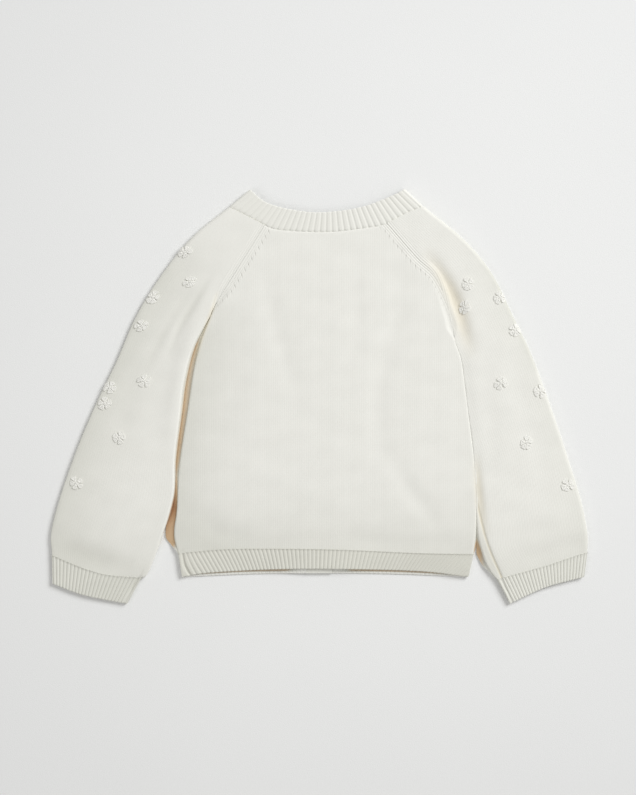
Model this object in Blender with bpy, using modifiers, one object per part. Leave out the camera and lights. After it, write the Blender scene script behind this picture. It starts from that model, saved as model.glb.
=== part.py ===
# Baby cardigan in fine cotton knit, laid face down: raglan sleeves, ribbed neckband, hem and
# cuffs, a buttoned front and small raised flowers on the sleeves.
# Lengths in the tables are millimetres. +X is the wearer's right, +Y points to the neck, and the
# fronts rest on z = 0 with the back above them.
# A piece is a sheet at the cloth's inner face, thickened outwards, so its inside is plain.

import bmesh
import bpy
import math
import numpy as np

mm = 0.001

# Cloth
wall = 1.8
seamGap = 0.3
layerGap = 3.4
upperFace = wall + layerGap
foldRadius = layerGap / 2
foldMiddle = wall + foldRadius
ribValley = 0.6
ridge, groove = 1.0, 0.0
valleyWidth = 7.0
valleyFloor = 0.25
armpitLength = 14.0
bodyInset = wall + seamGap / 2
cornerEase = 0.7

# Rows of corners, as fractions of the way from the armpit to the neck
armpitAt = 0.66
armpitRows = [0.03, 0.065, 0.1, 0.14]
raglanRows = [0.28, 0.43, 0.57, 0.71, 0.86, 1.0]
sideRows = 10
sleeveRows = 12
ribRows = [0, 0.5, 1]

# Columns: fractions round an edge's fold, then steps across
edgeFractions = [0, 0.25, 0.5, 0.75, 1]
bodyWidth = 250.0
frontWidth = 110.0
columnStep = 13.0
neckFrontLength = 90.0
neckFoldInset = 2.0

# Front edge
bandHalfWidth = 12.5
bandWall = 1.6
bandTop = 128.5
bandBottom = -169.5
buttonHeight = 1.6
buttonRadius = 5.5
buttonCount = 5
buttonRim = 0.35
lowestButton = -155
highestButton = 118
buttonholeFace = buttonHeight + seamGap
buttonBandFace = buttonholeFace + bandWall + seamGap
placketTop = buttonBandFace + bandWall
placketLift = placketTop + seamGap - upperFace
placketSlope = 30.0

# Ribs across the width that shows
hemRibs = 69
neckRibs = 30
cuffRibs = 21

# Flowers
flowerRadius = 6.3
flowerHeight = 2.2
petals = 5
petalNotch = 0.72
centreDip = 0.35
foldClearance = 0.5
flowerSpokes = 20
flowerRings = 2

# Outlines, as (x, y). Sides and sleeves run from the hem or cuff up.
armpit = {"left": (-103.5, 76), "right": (129, 52.5)}
bodySide = {
    "left": [
        (-134, -149.5), (-136.5, -130), (-134.5, -105), (-132, -64), (-124, -15), (-117.5, 25), (-111, 52)
    ],
    "right": [
        (147, -150), (149, -128), (148.7, -100), (146.5, -58), (141, -14), (137.5, 14), (134.5, 34.5)
    ],
}
sleeveInner = {
    "left": [
        (-169, -172.5), (-162, -167), (-148, -130), (-138.5, -95), (-137, -60), (-132, -18),
        (-128, 14), (-119, 47),
    ],
    "right": [
        (169, -174), (158, -162), (152, -148), (150.4, -128), (149.6, -100), (147.3, -58), (141.8, -14),
        (138.3, 14), (135.3, 34.5),
    ],
}
sleeveOuter = {
    "left": [
        (-254, -151), (-254.5, -128), (-245, -92), (-229, -47), (-212, -7), (-192, 34.5), (-173.5, 77),
        (-148, 118), (-120, 152), (-86, 180),
    ],
    "right": [
        (255, -148.5), (255, -130), (249, -99), (237, -60), (223, -18), (202.5, 38), (184, 77),
        (164, 117), (138, 148.5), (99.5, 180.5),
    ],
}
raglanLine = {
    ("left", "back"): [(-98, 88), (-79, 119), (-66.5, 139)],
    ("right", "back"): [(123.5, 79), (111, 113), (92, 132)],
    ("left", "front"): [(-96, 98), (-86, 125)],
    ("right", "front"): [(118, 88), (104, 122)],
}
raglanTopX = {("left", "back"): -52, ("right", "back"): 64, ("left", "front"): -74, ("right", "front"): 88.5}

# Seams and free edges across, each from -X to +X or from the inner corner out
hemSeam = [(-134, -149.5), (-116, -147.5), (-76, -145), (10, -145.5), (92, -149), (147, -150)]
hemEdgeBack = [(-130.5, -172), (-104, -167.5), (-45, -164), (10, -163.5), (94, -166), (142, -172)]
hemEdgeFront = [(-130.5, -172), (-108, -171), (-60, -169.5), (0, -169.5), (70, -170), (142, -172)]
neckSeamBack = [
    (-86, 180), (-63, 168.5), (-45, 159.5), (-26, 157), (10, 156), (42, 159.5), (61, 163), (83, 174),
    (99.5, 180.5),
]
neckEdgeBack = [(-66, 197), (-48.5, 183.5), (-17, 176), (10, 175.2), (42.5, 180.5), (72, 192), (81.5, 197.5)]
neckSeamFront = {
    "left": [(-12.5, 108.5), (-43, 118), (-61, 134), (-74, 153), (-81, 168), (-86, 180)],
    "right": [(12.5, 108.5), (56, 118), (75, 134), (88.5, 153), (95, 168), (99.5, 180.5)],
}
neckEdgeFront = {
    "left": [(-12.5, 128.5), (-31.5, 135), (-45, 147.5), (-55.5, 163.5), (-63, 181.5), (-66, 197)],
    "right": [(12.5, 128.5), (40.5, 135), (58.5, 147.5), (70, 163.5), (77.5, 181.5), (81.5, 197.5)],
}
cuffSeam = {
    "left": [(-169, -172.5), (-200, -170), (-220, -165), (-238, -158), (-254, -151)],
    "right": [(169, -174), (192, -167.5), (216, -161), (244, -151.5), (255, -148.5)],
}
cuffEdge = {
    "left": [(-182.5, -197.5), (-205, -193.5), (-229, -188), (-253.5, -178.5)],
    "right": [(181.5, -197.5), (202, -187.5), (221, -180), (252, -172)],
}

# Height of the raglan's inner face above the armpit, along the seam
raglanHeights = {
    "left": {"along": (0, 14, 30, 55, 200), "height": (3.5, 2.9, 3.4, 4.9, 5.2)},
    "right": {"along": (0, 14, 30, 55, 200), "height": (3.5, 3.7, 4.3, 5.0, 5.2)},
}

# Soft troughs in the upper layer; a negative depth is a ridge
troughs = [
    {"start": (-108, 115), "bend": (-126, 86), "end": (-140, 22), "depth": 1.3, "width": 7},
    {"start": (109, 128), "bend": (124, 100), "end": (137, 56), "depth": 1.9, "width": 7},
    {"start": (155, 20), "bend": (160, -30), "end": (162, -100), "depth": 0.5, "width": 9},
    {"start": (53, -70), "bend": (80, -100), "end": (113, -134), "depth": 0.5, "width": 12},
    {"start": (-60, 120), "bend": (-75, 60), "end": (-84, -20), "depth": 0.4, "width": 11},
    {"start": (60, 120), "bend": (66, 50), "end": (84, -30), "depth": 0.4, "width": 11},
    {"start": (-104, -120), "bend": (-95, -130), "end": (-76, -132), "depth": 0.5, "width": 12},
]

# Flower centres on the sleeves, with the turn of the first petal in degrees
flowers = {
    "left": [
        {"x": -130, "y": 137.5, "turn": 10, "onFold": True},
        {"x": -122.5, "y": 108.5, "turn": 40},
        {"x": -158, "y": 94, "turn": 15, "onFold": True},
        {"x": -169, "y": 67, "turn": 55},
        {"x": -166, "y": 14.5, "turn": 5},
        {"x": -199.5, "y": 8.5, "turn": 30, "onFold": True},
        {"x": -204, "y": -7, "turn": 0},
        {"x": -190, "y": -39, "turn": 20},
        {"x": -231, "y": -82.5, "turn": 50},
    ],
    "right": [
        {"x": 141, "y": 106.5, "turn": 12},
        {"x": 138, "y": 84.5, "turn": 35},
        {"x": 171.5, "y": 94, "turn": 8, "onFold": True},
        {"x": 186, "y": 63, "turn": 48, "onFold": True},
        {"x": 172.5, "y": 12.5, "turn": 25},
        {"x": 210, "y": 5, "turn": 60, "onFold": True},
        {"x": 196.5, "y": -44, "turn": 5},
        {"x": 236, "y": -84.5, "turn": 33},
    ],
}

colours = {
    "cotton_knit": {"colour": (0.80, 0.79, 0.73, 1), "roughness": 0.9},
    "cotton_rib": {"colour": (0.79, 0.78, 0.72, 1), "roughness": 0.9},
    "flower_yarn": {"colour": (0.83, 0.82, 0.77, 1), "roughness": 0.85},
    "button_plastic": {"colour": (0.78, 0.76, 0.68, 1), "roughness": 0.35},
}
sides = ("left", "right")
outward = {"left": -1, "right": 1}


def clearScene():
    for thing in list(bpy.data.objects):
        bpy.data.objects.remove(thing)


def makeMaterials():
    made = {}
    for name, look in colours.items():
        material = bpy.data.materials.new(name)
        material.use_nodes = True
        surface = material.node_tree.nodes["Principled BSDF"]
        surface.inputs["Base Color"].default_value = look["colour"]
        surface.inputs["Roughness"].default_value = look["roughness"]
        surface.inputs["Metallic"].default_value = 0
        made[name] = material
    return made


def ease(f):
    f = min(max(f, 0.0), 1.0)
    return f * f * (3 - 2 * f)


def mix(a, b, f):
    return a + (b - a) * f


class Line:
    """A smooth line through points on the floor plan, read by its fraction of length."""

    def __init__(self, points, perSpan=12):
        p = np.array(points, float)
        p = np.vstack([2 * p[0] - p[1], p, 2 * p[-1] - p[-2]])
        fine = []
        for a, b, c, d in zip(p, p[1:], p[2:], p[3:]):
            for i in range(perSpan):
                f = i / perSpan
                bend = 2 * a - 5 * b + 4 * c - d
                twist = 3 * b - a - 3 * c + d
                fine.append((2 * b + (c - a) * f + bend * f**2 + twist * f**3) / 2)
        fine.append(p[-2])
        self.points = np.array(fine)
        steps = np.linalg.norm(np.diff(self.points, axis=0), axis=1)
        self.reach = np.concatenate([[0], np.cumsum(steps)])
        self.length = self.reach[-1]

    def at(self, f):
        s = f * self.length
        return np.array([np.interp(s, self.reach, self.points[:, k]) for k in (0, 1)])

    def leftward(self, f):
        step = self.at(min(f + 0.01, 1)) - self.at(max(f - 0.01, 0))
        return np.array([-step[1], step[0]]) / np.linalg.norm(step)

    def fractionAtX(self, x):
        xs = self.points[:, 0]
        order = 1 if xs[-1] > xs[0] else -1
        return np.interp(x * order, xs * order, self.reach) / self.length


def patch(left, right, bottom, top):
    """Fills four edge functions of 0 to 1; the bottom and top edges are kept exactly."""
    corners = left(0), right(0), left(1), right(1)

    def at(u, v):
        bent = mix(bottom(u), top(u), v) + mix(left(v), right(v), u)
        return bent - mix(mix(corners[0], corners[1], u), mix(corners[2], corners[3], u), v)

    return at


def troughDepth(x, y):
    depth = 0
    for trough in troughs:
        a, b, c = (np.array(trough[k], float) for k in ("start", "bend", "end"))
        f = np.linspace(0, 1, 13)[:, None]
        way = a * (1 - f) ** 2 + 2 * b * f * (1 - f) + c * f**2
        near = np.hypot(way[:, 0] - x, way[:, 1] - y)
        best = int(near.argmin())
        fade = math.sin(math.pi * mix(0.08, 0.92, best / 12))
        depth += trough["depth"] * fade * math.exp(-((near[best] / trough["width"]) ** 2))
    return depth


def upperHeight(x, y):
    """Inner face of the layer on top, over the placket and through the troughs."""
    besidePlacket = ease((bandHalfWidth + placketSlope - abs(x)) / placketSlope)
    besidePlacket *= ease((bandTop + 15 - y) / 15)
    clear = 1 - besidePlacket
    return upperFace + placketLift * besidePlacket - troughDepth(x, y) * clear


def frontHeight(x):
    """Inner face of the fronts, which rise to the bands that they are sewn to."""
    bandFace = buttonholeFace if x > 0 else buttonBandFace
    rise = bandFace + bandWall - wall
    return wall + rise * ease((bandHalfWidth + placketSlope - abs(x)) / placketSlope)


def edgeProfile(f, valley, seamHeight, level):
    """Distance in from a seam and height, from the seam at 0 to the level cloth at 1."""
    angle = f * math.pi / 2
    rise = level - seamHeight
    distance = mix(foldRadius * (1 - math.cos(angle)), valleyWidth * f, valley)
    slope = ease((f - valleyFloor) / (1 - valleyFloor))
    return distance, seamHeight + rise * mix(math.sin(angle), slope, valley)


def openArmpit(along):
    """How far a raglan has turned from the armpit's fold, 0, to a level seam, 1."""
    return ease(along / armpitLength)


def neckSeam(side, face):
    return Line(neckSeamBack if face == "back" else neckSeamFront[side])


class Raglan:
    """A raglan seam: its line, its height and how its two pieces part near the armpit."""

    def __init__(self, side, face):
        neck = neckSeam(side, face)
        top = neck.at(neck.fractionAtX(raglanTopX[side, face]))
        self.line = Line([armpit[side]] + raglanLine[side, face] + [tuple(top)])
        self.side = side
        self.face = face

    def turned(self, v):
        return openArmpit(v * self.line.length)

    def height(self, v):
        along = v * self.line.length
        if self.face == "front":
            return mix(foldMiddle - seamGap / 2, wall, ease(along / armpitLength))
        heights = raglanHeights[self.side]
        return np.interp(along, heights["along"], heights["height"])

    def edge(self, v, toBody):
        turned = self.turned(v)
        across = np.array([-outward[self.side], 0.0])
        square = self.line.leftward(v) * outward[self.side]
        direction = mix(across, square, turned)
        direction /= np.linalg.norm(direction)
        apart = seamGap / 2 + wall * (1 - turned)
        return self.line.at(v) + direction * apart * (1 if toBody else -1)


raglans = {seam: Raglan(*seam) for seam in raglanLine}


def splitAt(lower, upper):
    """One edge from two: lower up to the armpit, upper above it."""
    return lambda v: lower(v / armpitAt) if v <= armpitAt else upper((v - armpitAt) / (1 - armpitAt))


def bodyEdge(side, face):
    line = Line(bodySide[side] + [armpit[side]])
    inward = np.array([-outward[side] * bodyInset, 0])
    raglan = raglans[side, face]
    return splitAt(lambda f: line.at(f) + inward, lambda f: raglan.edge(f, True))


def seamState(side, face, v):
    """Height of a side or raglan seam at v, and how far it has turned level."""
    if v <= armpitAt:
        half = seamGap / 2
        return foldMiddle + (half if face == "back" else -half), 0.0
    raglan = raglans[side, face]
    f = (v - armpitAt) / (1 - armpitAt)
    return raglan.height(f), raglan.turned(f)


def panelRows(below):
    """Rows up a panel. Those above the armpit are shared, so that pieces meet with the same corners."""
    low = [armpitAt * i / below for i in range(below + 1)]
    high = [mix(armpitAt, 1, f) for f in armpitRows + raglanRows]
    return low + high


def addSheet(name, columns, rows, place, material, flip, thickness=wall, ridges=None):
    grid = bmesh.new()
    lastColumn, lastRow = len(columns) - 1, len(rows) - 1
    bmesh.ops.create_grid(grid, x_segments=lastColumn, y_segments=lastRow, size=1)
    weights = []
    for vert in grid.verts:
        i = round((vert.co.x + 1) / 2 * lastColumn)
        j = round((vert.co.y + 1) / 2 * lastRow)
        vert.co = [length * mm for length in place(columns[i], rows[j])]
        weights.append(ridges[i] if ridges else ridge)
    if flip:
        bmesh.ops.reverse_faces(grid, faces=grid.faces[:])
    mesh = bpy.data.meshes.new(name)
    grid.to_mesh(mesh)
    grid.free()
    mesh.materials.append(materials[material])
    mesh.shade_smooth()
    piece = bpy.data.objects.new(name, mesh)
    cloth.objects.link(piece)
    ribs = piece.vertex_groups.new(name="ribs")
    for index, weight in enumerate(weights):
        ribs.add([index], weight, "REPLACE")
    thicken = piece.modifiers.new("Wall", "SOLIDIFY")
    thicken.thickness = thickness * mm
    thicken.offset = 1
    thicken.vertex_group = "ribs"
    thicken.thickness_vertex_group = ribValley
    return piece


def bodyPlace(area, leftState, rightState, level):
    """Places column c, row v: 0 to 1 is the left edge, 1 to 2 the middle, 2 to 3 the right edge.
    An edge with no state is cut off level."""

    def place(c, v):
        width = np.linalg.norm(area(1, v) - area(0, v))
        inset, height = [], []
        for f, state in ((min(c, 1), leftState), (min(3 - c, 1), rightState)):
            seamHeight, turned = state(v) if state else (0, 0)
            distance, rise = edgeProfile(f, turned, 0, 1) if state else (0, 1)
            inset.append(distance / width)
            height.append((seamHeight, rise))
        u = mix(inset[0], 1 - inset[1], min(max(c - 1, 0), 1))
        x, y = area(u, v)
        z = level(x, y)
        for seamHeight, rise in height:
            z = mix(seamHeight, z, rise)
        return x, y, z

    return place


def middleColumns(width, step=columnStep):
    count = round(width / step)
    return [1 + i / count for i in range(1, count)]


def alongX(line, x0, x1, shift):
    f0, f1 = line.fractionAtX(x0), line.fractionAtX(x1)
    return lambda u: line.at(mix(f0, f1, u)) + np.array([0, shift])


def addBack():
    left, right = bodyEdge("left", "back"), bodyEdge("right", "back")
    bottom = alongX(Line(hemSeam), left(0)[0], right(0)[0], seamGap)
    top = alongX(Line(neckSeamBack), left(1)[0], right(1)[0], -seamGap)
    area = patch(left, right, bottom, top)
    place = bodyPlace(
        area,
        lambda v: seamState("left", "back", v),
        lambda v: seamState("right", "back", v),
        upperHeight,
    )
    columns = edgeFractions + middleColumns(bodyWidth) + [2 + f for f in edgeFractions]
    addSheet("back_panel", columns, panelRows(sideRows), place, "cotton_knit", False)


def addFront(side):
    out = outward[side]
    bandX = out * (bandHalfWidth + seamGap)
    line = Line(neckSeamFront[side])
    edge = bodyEdge(side, "front")
    hem = Line(hemSeam)
    bottomY = hem.at(hem.fractionAtX(bandX))[1] + seamGap
    topY = line.at(0)[1] - seamGap
    centre = lambda v: np.array([bandX, mix(bottomY, topY, v)])
    bottom = alongX(hem, edge(0)[0], bandX, seamGap)
    top = alongX(line, edge(1)[0], bandX, -seamGap)
    area = patch(edge, centre, bottom, top)
    place = bodyPlace(
        area,
        lambda v: seamState(side, "front", v),
        None,
        lambda x, y: frontHeight(x),
    )
    columns = edgeFractions + middleColumns(frontWidth) + [2]
    addSheet("front_" + side, columns, panelRows(sideRows), place, "cotton_knit", out < 0)


def hemArea(edgePoints, x0, x1):
    seamEnds = hemSeam[0][0] + bodyInset, hemSeam[-1][0] - bodyInset
    freeEnds = edgePoints[0][0] + bodyInset, edgePoints[-1][0] - bodyInset
    corners = dict(zip(seamEnds, freeEnds))
    free0, free1 = (corners.get(x, x) for x in (x0, x1))
    bottom = alongX(Line(edgePoints), free0, free1, 0)
    top = alongX(Line(hemSeam), x0, x1, 0)
    left = lambda v: mix(bottom(0), top(0), v)
    right = lambda v: mix(bottom(1), top(1), v)
    return patch(left, right, bottom, top)


def ribColumns(start, count):
    """Two columns a rib, from start to start + 1, with the weight that raises each second one."""
    columns = [start + i / (2 * count + 1) for i in range(1, 2 * count + 1)]
    return columns, [ridge, groove] * count


def addHems():
    x0, x1 = hemSeam[0][0] + bodyInset, hemSeam[-1][0] - bodyInset
    half = seamGap / 2
    fold = lambda v: (foldMiddle + half, 0.0)
    place = bodyPlace(hemArea(hemEdgeBack, x0, x1), fold, fold, upperHeight)
    ribs, weights = ribColumns(1, hemRibs)
    columns = edgeFractions + ribs + [2 + f for f in edgeFractions]
    ends = [ridge] * len(edgeFractions)
    ridges = ends + weights + ends
    addSheet("hem_back", columns, ribRows, place, "cotton_rib", False, ridges=ridges)
    under = lambda v: (foldMiddle - half, 0.0)
    for side in sides:
        out = outward[side]
        sideX = x0 if out < 0 else x1
        bandX = out * (bandHalfWidth + seamGap)
        place = bodyPlace(
            hemArea(hemEdgeFront, sideX, bandX),
            under,
            None,
            lambda x, y: frontHeight(x),
        )
        columns = edgeFractions + middleColumns(frontWidth) + [2]
        addSheet("hem_front_" + side, columns, ribRows, place, "cotton_rib", out < 0)


class Tube:
    """A sleeve or cuff lying flat. Column c runs from the inner seam over the top (0 to 2), round
    the outer fold (2 to 4) and back underneath to the seam (4 to 6)."""

    def __init__(self, upper, lower, outer, upperState, lowerState):
        self.upper = upper
        self.lower = lower
        self.outer = outer
        self.states = upperState, lowerState

    def place(self, c, v):
        onTop = c < 3
        area = self.upper if onTop else self.lower
        state = self.states[0 if onTop else 1](v)
        far = c if onTop else 6 - c
        width = np.linalg.norm(area(1, v) - area(0, v))
        seamHeight, turned = state
        inner, rise = edgeProfile(min(far, 1), turned, 0, 1)
        angle = math.pi / 2 * (1 - min(max(far - 2, 0), 1))
        outer = foldRadius * (1 - math.cos(angle))
        reach = mix(inner, width - outer, min(max(far - 1, 0), 1))
        square = self.outer(v, outer) - area(1 - outer / width, v)
        x, y = area(reach / width, v) + square * ease(far - 1)
        if onTop:
            level = foldMiddle + (upperHeight(x, y) - foldMiddle) * math.sin(angle)
        else:
            level = foldMiddle - foldRadius * math.sin(angle)
        return x, y, mix(seamHeight, level, rise)


def outerEdge(line, side):
    """The outer fold's inner face, or a point in from it at a right angle."""
    return lambda v, inward=0: line.at(v) + line.leftward(v) * outward[side] * (wall + inward)


def sleeveTube(side):
    out = outward[side]
    inner = Line(sleeveInner[side] + [armpit[side]])
    inward = np.array([out * bodyInset, 0])
    outer = outerEdge(Line(sleeveOuter[side]), side)
    cuff = Line(cuffSeam[side])
    seamEnds = cuff.fractionAtX(inner.at(0)[0] + inward[0]), cuff.fractionAtX(outer(0)[0])

    def bottom(u):
        gap = seamGap + cornerEase * (1 - u) ** 6
        return cuff.at(mix(seamEnds[0], seamEnds[1], u)) + np.array([0, gap])

    areas, states = [], []
    for face in ("back", "front"):
        raglan = raglans[side, face]
        edge = splitAt(lambda f: inner.at(f) + inward, lambda f, r=raglan: r.edge(f, False))
        neck = neckSeam(side, face)
        top = alongX(neck, edge(1)[0], outer(1)[0], -seamGap)
        areas.append(patch(edge, outer, bottom, top))
        states.append(lambda v, face=face: seamState(side, face, v))
    return Tube(areas[0], areas[1], outer, states[0], states[1])


def cuffTube(side):
    out = outward[side]
    free, seam = Line(cuffEdge[side]), Line(cuffSeam[side])
    spans = []
    for line in (free, seam):
        ends = line.at(0)[0] + out * bodyInset, line.at(1)[0] - out * wall
        spans.append([line.fractionAtX(x) for x in ends])
    bottom = lambda u: free.at(mix(spans[0][0], spans[0][1], u))
    top = lambda u: seam.at(mix(spans[1][0], spans[1][1], u))
    left = lambda v: mix(bottom(0), top(0), v)
    right = lambda v: mix(bottom(1), top(1), v)
    area = patch(left, right, bottom, top)
    half = seamGap / 2
    states = [lambda v, lift=lift: (foldMiddle + lift, 0.0) for lift in (half, -half)]

    def outer(v, inward=0):
        return mix(right(v), left(v), inward / np.linalg.norm(right(v) - left(v)))

    return Tube(area, area, outer, *states)


def foldAndUnder():
    """Columns from the top of a tube's outer fold to the end of its underside."""
    return [2 + i / 4 for i in range(13)] + [5 + f for f in edgeFractions[1:]]


def addSleeve(side):
    tube = sleeveTube(side)
    over = [1 + i / 6 for i in range(1, 6)]
    columns = edgeFractions + over + foldAndUnder()
    addSheet("sleeve_" + side, columns, panelRows(sleeveRows), tube.place, "cotton_knit", side == "left")
    return tube


def addCuff(side):
    tube = cuffTube(side)
    ribs, weights = ribColumns(1, cuffRibs)
    rest = foldAndUnder()
    ridges = [ridge] * len(edgeFractions) + weights + [ridge] * len(rest)
    columns = edgeFractions + ribs + rest
    addSheet("cuff_" + side, columns, ribRows, tube.place, "cotton_rib", side == "left", ridges=ridges)


def neckFoldX(line, x, out):
    """Where the neckband's fold lies on a back line, in from its end by the wall."""
    return line.fractionAtX(x - out * neckFoldInset)


def addNeckband():
    """Column c: 0 to 1 the left front, 1 to 3 the left fold, 3 to 4 the back, 4 to 6 the right
    fold, 6 to 7 the right front. Row 0 is the seam and row 1 the free edge."""
    backLines = Line(neckSeamBack), Line(neckEdgeBack)
    foldAt = {
        side: [neckFoldX(line, line.at(0 if side == "left" else 1)[0], outward[side]) for line in backLines]
        for side in sides
    }

    def backPoint(u, v):
        ends = zip(foldAt["left"], foldAt["right"])
        seam, edge = (line.at(mix(*end, u)) for line, end in zip(backLines, ends))
        return mix(seam, edge, v)

    def frontPoint(side, u, v):
        lines = Line(neckSeamFront[side]), Line(neckEdgeFront[side])
        startX = outward[side] * (bandHalfWidth + seamGap)
        seam, edge = (line.at(mix(line.fractionAtX(startX), 1, u)) for line in lines)
        fold = backPoint(0 if side == "left" else 1, v)
        end = mix(lines[0].at(1), lines[1].at(1), v)
        return mix(seam, edge, v) + (fold - end) * ease(u)

    def place(c, v):
        onLeft = c < 3.5
        side = "left" if onLeft else "right"
        turn = c if onLeft else 7 - c
        angle = math.pi / 2 * min(max(turn - 2, -1), 1)
        inset = foldRadius * (1 - math.cos(angle))
        height = foldMiddle + foldRadius * math.sin(angle)
        if turn < 2:
            x, y = frontPoint(side, min(turn, 1) * (1 - inset / neckFrontLength), v)
            return x, y, max(height, frontHeight(x))
        width = np.linalg.norm(backPoint(1, v) - backPoint(0, v))
        across = mix(inset, width - inset, min(max(c - 3, 0), 1))
        x, y = backPoint(across / width, v)
        return x, y, height

    frontColumns = [i / 8 for i in range(8)] + [1]
    fold = [1 + i / 4 for i in range(1, 9)]
    firstHalf = frontColumns + fold
    ribs, weights = ribColumns(3, neckRibs)
    columns = firstHalf + ribs + [7 - c for c in reversed(firstHalf)]
    ends = [ridge] * len(firstHalf)
    addSheet("neckband", columns, ribRows, place, "cotton_rib", False, ridges=ends + weights + ends)


def addBands():
    bands = {"buttonhole_band": buttonholeFace, "button_band": buttonBandFace}
    for name, face in bands.items():
        inner = face + bandWall
        place = lambda u, v, inner=inner: (u * bandHalfWidth, mix(bandBottom, bandTop, v), inner)
        addSheet(name, [-1, 0, 1], [i / 12 for i in range(13)], place, "cotton_rib", True, bandWall)


def addButtons():
    for i in range(buttonCount):
        y = mix(lowestButton, highestButton, i / (buttonCount - 1))
        bpy.ops.mesh.primitive_cylinder_add(
            vertices=20,
            radius=buttonRadius * mm,
            depth=buttonHeight * mm,
            location=(0, y * mm, buttonHeight / 2 * mm),
        )
        button = bpy.context.object
        button.name = f"button_{i + 1}"
        button.data.name = button.name
        button.data.materials.append(materials["button_plastic"])
        bevel = button.modifiers.new("Rim", "BEVEL")
        bevel.width = buttonRim * mm
        bevel.segments = 1
        for owner in button.users_collection:
            owner.objects.unlink(button)
        cloth.objects.link(button)


def sleeveSpot(tube, x, y):
    """The column and row of a sleeve's upper face that lie over (x, y), found step by step."""
    c, v = 1.5, 0.5
    for _ in range(40):
        here = np.array(tube.place(c, v)[:2])
        alongC = (np.array(tube.place(c + 0.01, v)[:2]) - here) / 0.01
        alongV = (np.array(tube.place(c, v + 0.005)[:2]) - here) / 0.005
        step = np.linalg.solve(np.column_stack([alongC, alongV]), np.array([x, y]) - here)
        c = min(max(c + 0.6 * step[0], 1.02), 1.98)
        v = min(max(v + 0.6 * step[1], 0.05), 0.95)
    return c, v


def addFlower(name, tube, flower, out):
    c0, v0 = sleeveSpot(tube, flower["x"], flower["y"])
    width = np.linalg.norm(tube.upper(1, v0) - tube.upper(0, v0))
    reachUp = np.linalg.norm(tube.upper(0.5, v0 + 0.01) - tube.upper(0.5, v0 - 0.01)) / 0.02
    clearance = seamGap + (foldClearance if flower.get("onFold") else 0)

    def surface(across, along, height):
        """A point of the sleeve's outer face, moved out by height."""
        c = columnAfter(c0, across, width)
        v = v0 + along / reachUp
        here = np.array(tube.place(c, v))
        alongC = np.array(tube.place(c + 0.02, v)) - np.array(tube.place(c - 0.02, v))
        alongV = np.array(tube.place(c, v + 0.004)) - np.array(tube.place(c, v - 0.004))
        normal = np.cross(alongC, alongV) * out
        return here + normal / np.linalg.norm(normal) * (wall + clearance + height)

    shape = bmesh.new()
    bmesh.ops.create_uvsphere(shape, u_segments=flowerSpokes, v_segments=2 * flowerRings, radius=1)
    for vert in shape.verts:
        flat = math.hypot(vert.co.x, vert.co.y)
        angle = math.atan2(vert.co.y, vert.co.x)
        lobe = abs(math.cos(petals / 2 * (angle - math.radians(flower["turn"]))))
        reach = flowerRadius * flat * mix(petalNotch, 1, lobe)
        dip = centreDip if vert.co.z > 0.99 else 0
        height = flowerHeight * ((vert.co.z + 1) / 2 - dip)
        place = surface(reach * math.cos(angle), reach * math.sin(angle), height)
        vert.co = [length * mm for length in place]
    if out < 0:
        bmesh.ops.reverse_faces(shape, faces=shape.faces[:])
    mesh = bpy.data.meshes.new(name)
    shape.to_mesh(mesh)
    shape.free()
    mesh.materials.append(materials["flower_yarn"])
    mesh.shade_smooth()
    cloth.objects.link(bpy.data.objects.new(name, mesh))


def columnAfter(c, across, width):
    """The column that lies across mm further out, also round the outer fold."""
    flat = width - foldRadius - valleyWidth
    reach = (c - 1) * flat + across
    if reach <= flat:
        return 1 + reach / flat
    return 2 + (reach - flat) / (foldRadius + wall) / (math.pi / 2)


clearScene()
cloth = bpy.data.collections.new("baby_cardigan")
bpy.context.scene.collection.children.link(cloth)
materials = makeMaterials()
addBack()
for side in sides:
    addFront(side)
addHems()
addNeckband()
addBands()
addButtons()
for side in sides:
    tube = addSleeve(side)
    addCuff(side)
    for i, flower in enumerate(flowers[side]):
        addFlower(f"flower_{side}_{i + 1}", tube, flower, outward[side])
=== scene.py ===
import bpy
import math
import numpy as np
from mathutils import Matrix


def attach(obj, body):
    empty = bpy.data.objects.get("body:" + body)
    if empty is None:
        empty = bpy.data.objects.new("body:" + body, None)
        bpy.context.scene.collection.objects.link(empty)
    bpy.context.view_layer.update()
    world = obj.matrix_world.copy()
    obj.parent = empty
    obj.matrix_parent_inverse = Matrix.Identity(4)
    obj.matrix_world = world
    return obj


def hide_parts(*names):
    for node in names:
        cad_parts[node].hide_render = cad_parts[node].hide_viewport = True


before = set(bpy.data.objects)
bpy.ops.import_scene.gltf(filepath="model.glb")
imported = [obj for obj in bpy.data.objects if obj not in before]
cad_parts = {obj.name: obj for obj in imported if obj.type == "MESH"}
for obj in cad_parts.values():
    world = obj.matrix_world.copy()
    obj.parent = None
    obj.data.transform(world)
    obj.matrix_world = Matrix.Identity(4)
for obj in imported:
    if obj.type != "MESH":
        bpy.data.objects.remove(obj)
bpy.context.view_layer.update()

# A baby cardigan in fine cotton, laid face down. Lengths are millimetres until the mesh is made.
# Each piece of cloth is a thin shell over the form of its solid, with finer creases and ribs.
mm = 0.001

# Heights, folds and gaps that all pieces share
upperFace = 7.0
foldRadius = 3.5
foldMiddle = 3.5
seamGap = 0.04
bodyInset = seamGap / 2
valleyWidth = 7.0
valleyFloor = 0.25
armpitLength = {"left": 24.0, "right": 14.0}
armpitAt = 0.66  # the row of a panel or sleeve where its side ends and its raglan starts
waleWidth = 2.1
courseHeight = 1.55
farFromSeams = 1000
nearSpans = 24  # how finely a line is read for creases and sags
smallPart = 0.01  # of a line's length, to read its direction
sharpAngle = 55

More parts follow.
